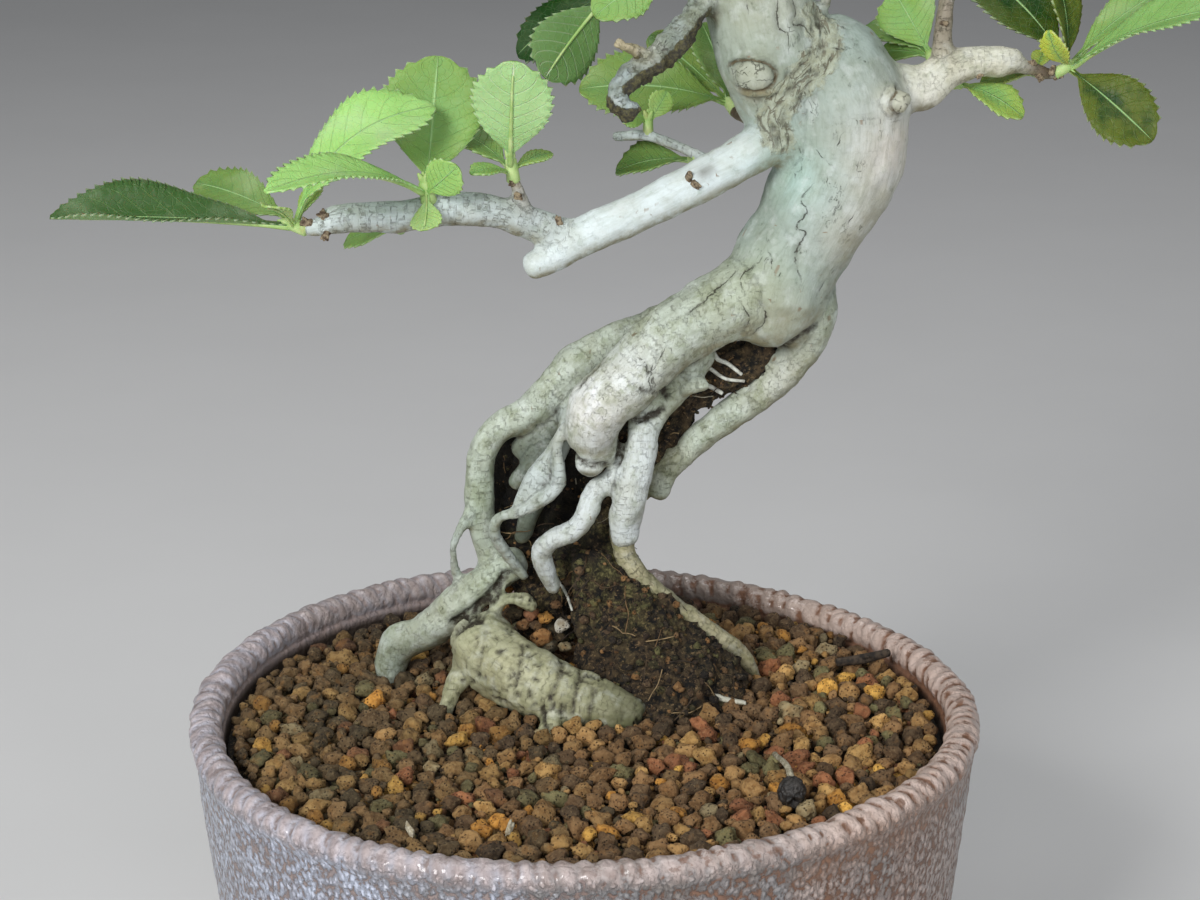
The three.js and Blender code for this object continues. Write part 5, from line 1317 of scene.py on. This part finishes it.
def pebble(level, seed):
    """One lumpy, slightly faceted grain of diameter 1, as vertices and faces."""
    draw = random.Random(seed)
    shift = Vector(three(draw, -9, 9))
    flats = [random_way(draw).normalized() for _ in range(9)]
    spots, faces = ball(level)
    vertices = []
    for spot in spots:
        for flat in flats:
            spot -= flat * max(0.0, spot.dot(flat) - 0.35) * 0.9
        spot *= 1 + 0.34 * noise.noise(spot * 3 + shift) + 0.2 * noise.noise(spot * 7 - shift)
        vertices.append((spot.x, spot.y * 0.92, spot.z * 0.84))
    return np.array(vertices), faces


def scatter(draw, sizes, closeness, blocked):
    """Places for grains of the given sizes on the round bed, the largest first, none nearer than closeness
    times their mean size."""
    taken = np.zeros((0, 3))
    for size in sorted(sizes, reverse=True):
        for _ in range(TRIES):
            reach = (SOIL_RADIUS - 0.4 * size) * math.sqrt(draw.random())
            angle = draw.uniform(0, FULL_TURN)
            x, y = reach * math.cos(angle), reach * math.sin(angle)
            apart = (taken[:, 0] - x) ** 2 + (taken[:, 1] - y) ** 2
            if (apart < (closeness * 0.5 * (taken[:, 2] + size)) ** 2).any() or blocked(x, y, size):
                continue
            taken = np.vstack([taken, (x, y, size)])
            break
    return taken


def grain_tone(draw, tones, x, y, share):
    """A grain's tone: darker at the back, painted shade by the wall, painted light at the right, and duller
    in patches at the left.
    """
    tone = np.array(draw.choice(tones)) * draw.uniform(1.15, 2.15) * share
    if x < -15 + draw.gauss(0, 12):
        tone = tone * 0.58 + np.array(srgb((112, 102, 70))) * 0.24
    tone = tone * (1 - 0.5 * smooth_step(16, 46, y)) * (1 + 0.15 * smooth_step(0, 30, x))
    return tone * (1 - 0.5 * smooth_step(SOIL_RADIUS - 4, SOIL_RADIUS, math.hypot(x, y)))


def build_grains(wood_vertices):
    """Three layers of loose grains: the ones on top, the ones that show between them, and the finest."""
    draw = random.Random(SEEDS["grains"])
    near_soil = wood_vertices[(wood_vertices[:, 2] > SOIL_TOP - 3) & (wood_vertices[:, 2] < SOIL_TOP + 4)]
    mound, mound_radii, _ = sample_path(EARTH[0], 1.0)

    def blocked(x, y, size):
        place = np.array((x, y, soil_height(x, y)))
        if (np.linalg.norm(near_soil - place, axis=1) < 0.36 * size).any():
            return True
        return (np.linalg.norm(mound - place, axis=1) - mound_radii).min() < -0.6

    kinds = {level: [pebble(level, 70 + level * 10 + k) for k in range(PEBBLE_KINDS)] for level in (1, 2, 3)}
    tones = [srgb(tone) for tone, weight in GRAIN_TONES for _ in range(weight)]
    top = [draw.choice(TOP_GRAIN_SIZES) * draw.uniform(0.9, 1.1) for _ in range(TOP_GRAINS)]
    top += [draw.uniform(4.2, 5.6) for _ in range(LARGE_GRAINS)]
    below = [draw.uniform(1.8, 3.4) for _ in range(LOWER_GRAINS)]
    fine = [draw.uniform(0.7, 1.5) for _ in range(FINE_GRAINS)]
    material = grain_material("clay_grains")
    # Each layer: sizes, closeness, height over the soil's surface, the share of light painted into its tone
    # (less for the lower layers, as painted shade), and the sizes from which a grain has more faces
    for name, sizes, closeness, offset, share, finer in (
            ("grains_top", top, 0.86, 0.25, 1, (1.6, 3.3)), ("grains_below", below, 0.8, -1.35, 0.7, (2.3,)),
            ("grains_fine", fine, 0.6, -0.5, 0.7, (2.3,))):
        shape = Shape()
        for x, y, size in scatter(draw, sizes, closeness, blocked):
            level = 1 + sum(size > limit for limit in finer)
            vertices, faces = kinds[level][draw.randrange(PEBBLE_KINDS)]
            turned = Matrix.Rotation(draw.uniform(0, 6.28), 3, "Z")
            for axis in "XY":
                turned = turned @ Matrix.Rotation(draw.uniform(-0.7, 0.7), 3, axis)
            stretch = [draw.uniform(low, high) for low, high in ((0.85, 1.2), (0.8, 1.1), (0.8, 1.1))]
            height = soil_height(x, y) + offset + draw.uniform(-0.45, 0.35) - 0.1 * (size - 2.5)
            spot = (vertices * stretch * size) @ np.array(turned).T + (x, y, height)
            shape.add(spot, faces, tone=grain_tone(draw, tones, x, y, share))
        shape.settle(name, "clay_grains", "soil", material)


def build_bed():
    """The dark packed soil that fills the pot under the loose grains."""
    rings, columns = 60, 180
    circle = [(math.cos(FULL_TURN * k / columns), math.sin(FULL_TURN * k / columns)) for k in range(columns)]
    vertices = [(0, 0, soil_height(0, 0) - BED_DEPTH)]
    for ring in range(1, rings + 1):
        reach = (SOIL_RADIUS + 0.5) * ring / rings
        for x, y in circle:
            x, y = reach * x, reach * y
            bump = 0.5 * noise.noise(Vector((x, y, 3)) * 0.9)
            vertices.append((x, y, soil_height(x, y) - BED_DEPTH + bump))
    under = len(vertices)
    low_reach, low = BASE_RADIUS - 6, FLOOR_TOP + 0.4
    vertices += [(low_reach * x, low_reach * y, low) for x, y in circle] + [(0, 0, low)]
    faces = [(0, 1 + k, 1 + (k + 1) % columns) for k in range(columns)]
    faces += quads(rings + 1, columns, start=1)
    faces += [(under + (k + 1) % columns, under + k, len(vertices) - 1) for k in range(columns)]
    bed = Shape()
    bed.add(vertices, faces, tone=srgb((26, 20, 14)))
    bed.settle("soil_bed", "clay_grains", "soil", grain_material("packed_clay"))


# Earth of the old root ball: a cone under the roots, and the dark core that climbs behind them
EARTH = [
    [(13.5, 12, 46, 14), (12, 12.5, 57, 15.8), (8.5, 13.2, 66, 11.4), (4.5, 14, 74, 7.2),
     (1, 15, 80.5, 4.6)],
    [(3, 16, 76, 5.5), (-3, 23, 85, 5.2), (-3.5, 25, 94, 4.6), (3, 24, 102.5, 4.2),
     (11, 20.5, 108.5, 3.6), (19, 18.5, 113, 3), (26, 17, 116, 3), (31, 16, 118.5, 2.4)],
    [(9, 16.5, 97, 3.2), (13.8, 17, 100.8, 3.1), (15.7, 17.5, 104.8, 3.1), (18.6, 17, 109.2, 3.1),
     (26, 17, 113, 3.7), (31.5, 17, 117.5, 3.2)],
    [(7, 2, 55.5, 3), (12, 2, 56.4, 4.2), (16.5, 4, 56.8, 4)],
    [(-6, 22, 64, 5.5), (-7, 24, 71, 6), (-7, 25, 77, 6), (-10, 26, 85, 6.4), (-10.5, 27, 93, 6.2),
     (-7, 27, 101, 5.4), (1, 25, 107, 4)],
    [(3, 18.5, 82, 4.6), (3.5, 18.5, 90, 4.8), (4, 18.5, 98, 4.6), (8, 18.5, 105, 4.2)],
]


def front_of(vertices, x, z):
    """The y of the foremost of the vertices near the given x and z."""
    off = np.hypot(vertices[:, 0] - x, vertices[:, 2] - z)
    return vertices[off < max(1.2, off.min() + 0.2), 1].min()


def build_root_ball():
    """The old root ball of peat, with what is caught on it and what clings to it."""
    shape = Shape()
    for points in EARTH:
        shape.add(*tube(points, 1.2, 32))
    vertices, faces, edges = remeshed(shape, PEAT_VOXEL)
    vertices = relaxed(vertices, edges, 6)
    normals = normals_of(vertices, faces)
    big = smooth_step(110, 70, vertices[:, 2])
    lift = (0.9 + 0.8 * big) * noise_at(vertices, 0.16, 11, 3) + 0.75 * noise_at(vertices, 0.55, 12, 3)
    lift += 0.5 * noise_at(vertices, 1.5, 13) - 0.75
    vertices = vertices + normals * lift[:, None]
    high = vertices[:, 2]
    moss = np.clip(smooth_step(66, 80, high) * smooth_step(92, 84, high) * 0.7 + 0.1, 0, 1)
    # Painted shade: marks the core high behind the roots, which the peat paints near black.
    dark = smooth_step(76, 84, high) * smooth_step(6, -2, vertices[:, 0])
    peat = Shape()
    peat.add(vertices, faces, moss=moss, dark=dark)
    peat.settle("root_ball_peat", "peat", "old_root_ball", peat_material())
    caught = Shape()
    for number, (x, z, size, tone) in enumerate(POCKET):
        grain, grain_faces = pebble(3, 500 + number)
        caught.add(grain * size + (x, front_of(vertices, x, z) - 0.3 * size, z), grain_faces, tone=srgb(tone))
    caught.settle("grains_caught", "peat", "old_root_ball", grain_material("caught_grains"))
    build_rootlets(vertices, normals)
    build_crumbs(vertices, normals)


def build_rootlets(vertices, normals):
    """Fine dead and living rootlets that cling to the old root ball and hang in the gap under the trunk."""
    draw = random.Random(SEEDS["rootlets"])
    shape = Shape()
    tones = [(128, 100, 66), (84, 66, 47), (158, 134, 96), (56, 45, 34)]
    foot = np.where((vertices[:, 2] > SOIL_TOP + 1) & (vertices[:, 2] < 84) & (normals[:, 2] > -0.5))[0]
    gap = np.where((vertices[:, 2] > 84) & (normals[:, 1] < -0.2))[0]
    for number in range(ROOTLETS):
        high = number % 3 == 0
        k = draw.choice(gap if high else foot)
        spot, out = Vector(vertices[k]), Vector(normals[k])
        way = Vector((draw.gauss(0, 1), draw.gauss(0, 1), draw.gauss(-0.3, 0.8)))
        way = (way - out * way.dot(out)).normalized()
        step = draw.uniform(0.4, 0.9) if high else draw.uniform(0.7, 1.7)
        radius = draw.uniform(0.06, 0.13)
        points = []
        for i in range(draw.randint(4, 7)):
            points.append((*(spot + out * (0.15 + 0.3 * math.sin(0.6 * i))), radius * (1 - 0.06 * i)))
            way = way + random_way(draw) * 0.3
            way = (way - out * way.dot(out) + Vector((0, 0, -0.1))).normalized()
            spot = spot + way * step
            spot.z = max(spot.z, SOIL_TOP + 1.5)
        tone = (176, 168, 148) if high and draw.random() < 0.2 else draw.choice(tones)
        shape.add(*tube(points, 0.8, 4), tone=srgb(tone))
    for line in PALE_ROOTLETS:
        pale = [(x, front_of(vertices, x, z) - 0.3, z, 0.45 - 0.05 * k) for k, (x, z) in enumerate(line)]
        shape.add(*tube(pale, 0.6, 9), tone=srgb((206, 208, 198)))
    shape.settle("rootlets", "peat", "old_root_ball", rootlet_material())


def build_crumbs(vertices, normals):
    """Crumbs of earth, mineral grains and moss that stick to the old root ball."""
    draw = random.Random(SEEDS["crumbs"])
    shape = Shape()
    kinds = [pebble(1, 300 + k) for k in range(CRUMB_KINDS)]
    tones = [(44, 34, 26), (70, 55, 40), (96, 74, 50), (62, 58, 34), (84, 82, 50), (128, 96, 60),
             (52, 44, 34), (36, 30, 24)]
    outside = np.where((vertices[:, 2] > SOIL_TOP + 0.5) & (vertices[:, 2] < 116))[0]
    for _ in range(CRUMBS):
        k = draw.choice(outside)
        size = draw.uniform(0.6, 2.3) * (1 if vertices[k][2] < 84 else 0.5)
        points, faces = kinds[draw.randrange(CRUMB_KINDS)]
        points = points * three(draw, 0.7, 1.2) * size + vertices[k] + normals[k] * 0.1
        shape.add(points, faces, tone=np.array(srgb(draw.choice(tones))) * draw.uniform(0.6, 1.9))
    shape.settle("peat_crumbs", "peat", "old_root_ball", grain_material("peat_crumbs"))


# Small things that lie on the soil

def berry():
    """A wrinkled dry berry of diameter 1, with the crater of its calyx on the side that faces -Y."""
    crater = Vector((0.15, -0.85, -0.35)).normalized()
    spots, faces = ball(5)
    vertices = []
    for spot in spots:
        way = spot.normalized()
        ridge = abs(noise.noise(way * 2.6)) + 0.5 * abs(noise.noise(way * 5.5 + Vector((3, 1, 2))))
        off = way.angle(crater)
        star = 0.05 * math.exp(-((off - 0.5) / 0.14) ** 2)
        star *= 1 + 0.7 * math.sin(5 * math.atan2(way.x, way.z))
        pit = 0.14 * math.exp(-(off / 0.34) ** 2)
        vertices.append(way * (0.5 - 0.11 * ridge + star - pit))
    return np.array(vertices), faces


def build_small(name, slot, node, material, *parts):
    """One small piece: parts are (vertices, faces), and material holds what plain_material takes."""
    shape = Shape()
    for vertices, faces in parts:
        shape.add(vertices, faces)
    shape.settle(name, slot, node, plain_material(*material))


def build_small_things():
    """The dried fruit on its stalk, the fallen twig, the pale grain and the white shards."""
    vertices, faces = berry()
    build_small("dried_fruit_skin", "dry_fruit", "dried_fruit",
                ("dry_fruit", (20, 18, 17), (62, 58, 55), 0.9, 0.5, 0.3),
                (vertices * (4.7, 4.9, 5.2) + (32, -34.5, 60.6), faces))
    stalk = [(32, -33.5, 62.2, 0.6), (31.5, -31.5, 63.4, 0.5), (30, -25, 62.6, 0.42),
             (30.4, -19.5, 60.4, 0.36)]
    build_small("dried_fruit_stalk", "dry_fruit", "dried_fruit",
                ("dry_stalk", (112, 104, 84), (170, 164, 144), 0.8, 0.8, 0.15), tube(stalk, 0.6, 9))
    build_small("fallen_twig_bark", "dead_twig", "fallen_twig",
                ("dead_twig", (28, 23, 19), (74, 62, 50), 0.9, 0.85, 0.25),
                tube([(43.5, 21, 59.6, 0.7), (48, 21.6, 60, 0.9), (52.5, 23.4, 60.4, 0.7)], 0.5, 10),
                tube([(47.5, 21.4, 60.2, 0.4), (48.8, 20.3, 61, 0.3)], 0.4, 7))
    vertices, faces = pebble(3, 9)
    build_small("pale_grain_pumice", "pumice", "pale_grain",
                ("pumice", (168, 156, 130), (214, 206, 184), 0.7, 0.9, 0.2),
                (vertices * 3.0 + (-4, 30, 61), faces))
    vertices, faces = pebble(3, 77)
    shards = []
    for x, y, spin in ((-26.5, -44.5, 0.5), (-11.5, -44, -0.4), (-2, 36, 1.4)):
        turned = np.array(Matrix.Rotation(spin, 3, "Z") @ Matrix.Rotation(0.5, 3, "X"))
        shards.append(((vertices * (1.1, 3.6, 1.4)) @ turned.T + (x, y, soil_height(x, y) + 1.4), faces))
    build_small("white_shards", "pumice", "soil",
                ("white_shards", (150, 138, 114), (196, 190, 170), 0.8, 0.9, 0.15), *shards)


def finish_drain_mesh():
    """The perforated mesh over the drain hole keeps its solid and gets its own moulded plastic."""
    plastic = plain_material("black_mesh", (20, 20, 20), (38, 38, 38), 1.2, 0.55, 0.05)
    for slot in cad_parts["drain_mesh"].material_slots:
        slot.material = plastic


# Stage, light and camera

CAMERA_PLACE = (0, -460.1, 255.0)
CAMERA_AHEAD = (0.00524, 0.95072, -0.31001)
CAMERA_LENS = 90.3
SENSOR_WIDTH = 36
# Each lamp: its place, what it points at, its size, its power and its colour in shares of 1
LAMPS = {
    "key": ((-480, -780, 600), (0, 0, 105), 320, 8.0, (1.0, 0.995, 0.985)),
    "front": ((60, -900, 330), (0, 0, 100), 500, 2.2, (0.97, 0.99, 1.0)),
    "fill": ((700, -400, 420), (0, 0, 100), 700, 1.4, (0.95, 0.97, 1.0)),
    "top": ((-40, 150, 900), (0, 0, 60), 500, 2.6, (1, 1, 1)),
}


def build_camera():
    camera = bpy.data.cameras.new("camera")
    camera.lens = CAMERA_LENS
    camera.sensor_width = SENSOR_WIDTH
    camera.clip_start, camera.clip_end = 0.02, 20
    made = link(bpy.data.objects.new("camera", camera))
    ahead = Vector(CAMERA_AHEAD).normalized()
    right = ahead.cross(Vector((0, 0, 1))).normalized()
    made.matrix_world = Matrix((right, right.cross(ahead), -ahead)).transposed().to_4x4()
    made.location = Vector(CAMERA_PLACE) * MM
    bpy.context.scene.camera = made
    bpy.context.scene.view_settings.view_transform = "Standard"


def build_lights():
    """Large soft lamps in a pale room."""
    for name, (place, target, size, power, colour) in LAMPS.items():
        lamp = bpy.data.lights.new(name, "AREA")
        lamp.size = size * MM
        lamp.energy = power
        lamp.color = colour
        made = link(bpy.data.objects.new(name, lamp))
        made.location = Vector(place) * MM
        made.rotation_euler = (Vector(target) - Vector(place)).to_track_quat("-Z", "Y").to_euler()
    world = bpy.data.worlds.new("soft_room")
    world.use_nodes = True
    background = world.node_tree.nodes["Background"]
    background.inputs["Color"].default_value = (0.85, 0.88, 0.92, 1)
    background.inputs["Strength"].default_value = 0.15
    bpy.context.scene.world = world


def build_stage():
    floor = Shape()
    floor.add([(-2500, -2500, 0), (2500, -2500, 0), (2500, 2500, 0), (-2500, 2500, 0)], [(0, 1, 2, 3)])
    pale = Graph("pale_floor", Roughness=0.9)
    pale.set("Base_Color", pale.mix(pale.noise(60, 3), (212.2,) * 3, (217.9,) * 3))
    floor.make("floor", pale.material)


build_camera()
build_lights()
build_stage()
build_pot()
wood = build_wood()
build_buds(wood)
build_grains(wood)
build_bed()
build_root_ball()
build_small_things()
finish_drain_mesh()
leaf_materials = [leaf_material("leaf_upper", False), leaf_material("leaf_under", True), shoot_material()]
for number, (name, spray) in enumerate(SPRAYS.items()):
    build_spray(name, spray, leaf_materials, number)
for number, (name, values) in enumerate(CROWN_SPRAYS.items(), 50):
    build_spray(name, crown_spray(*values), leaf_materials, number)
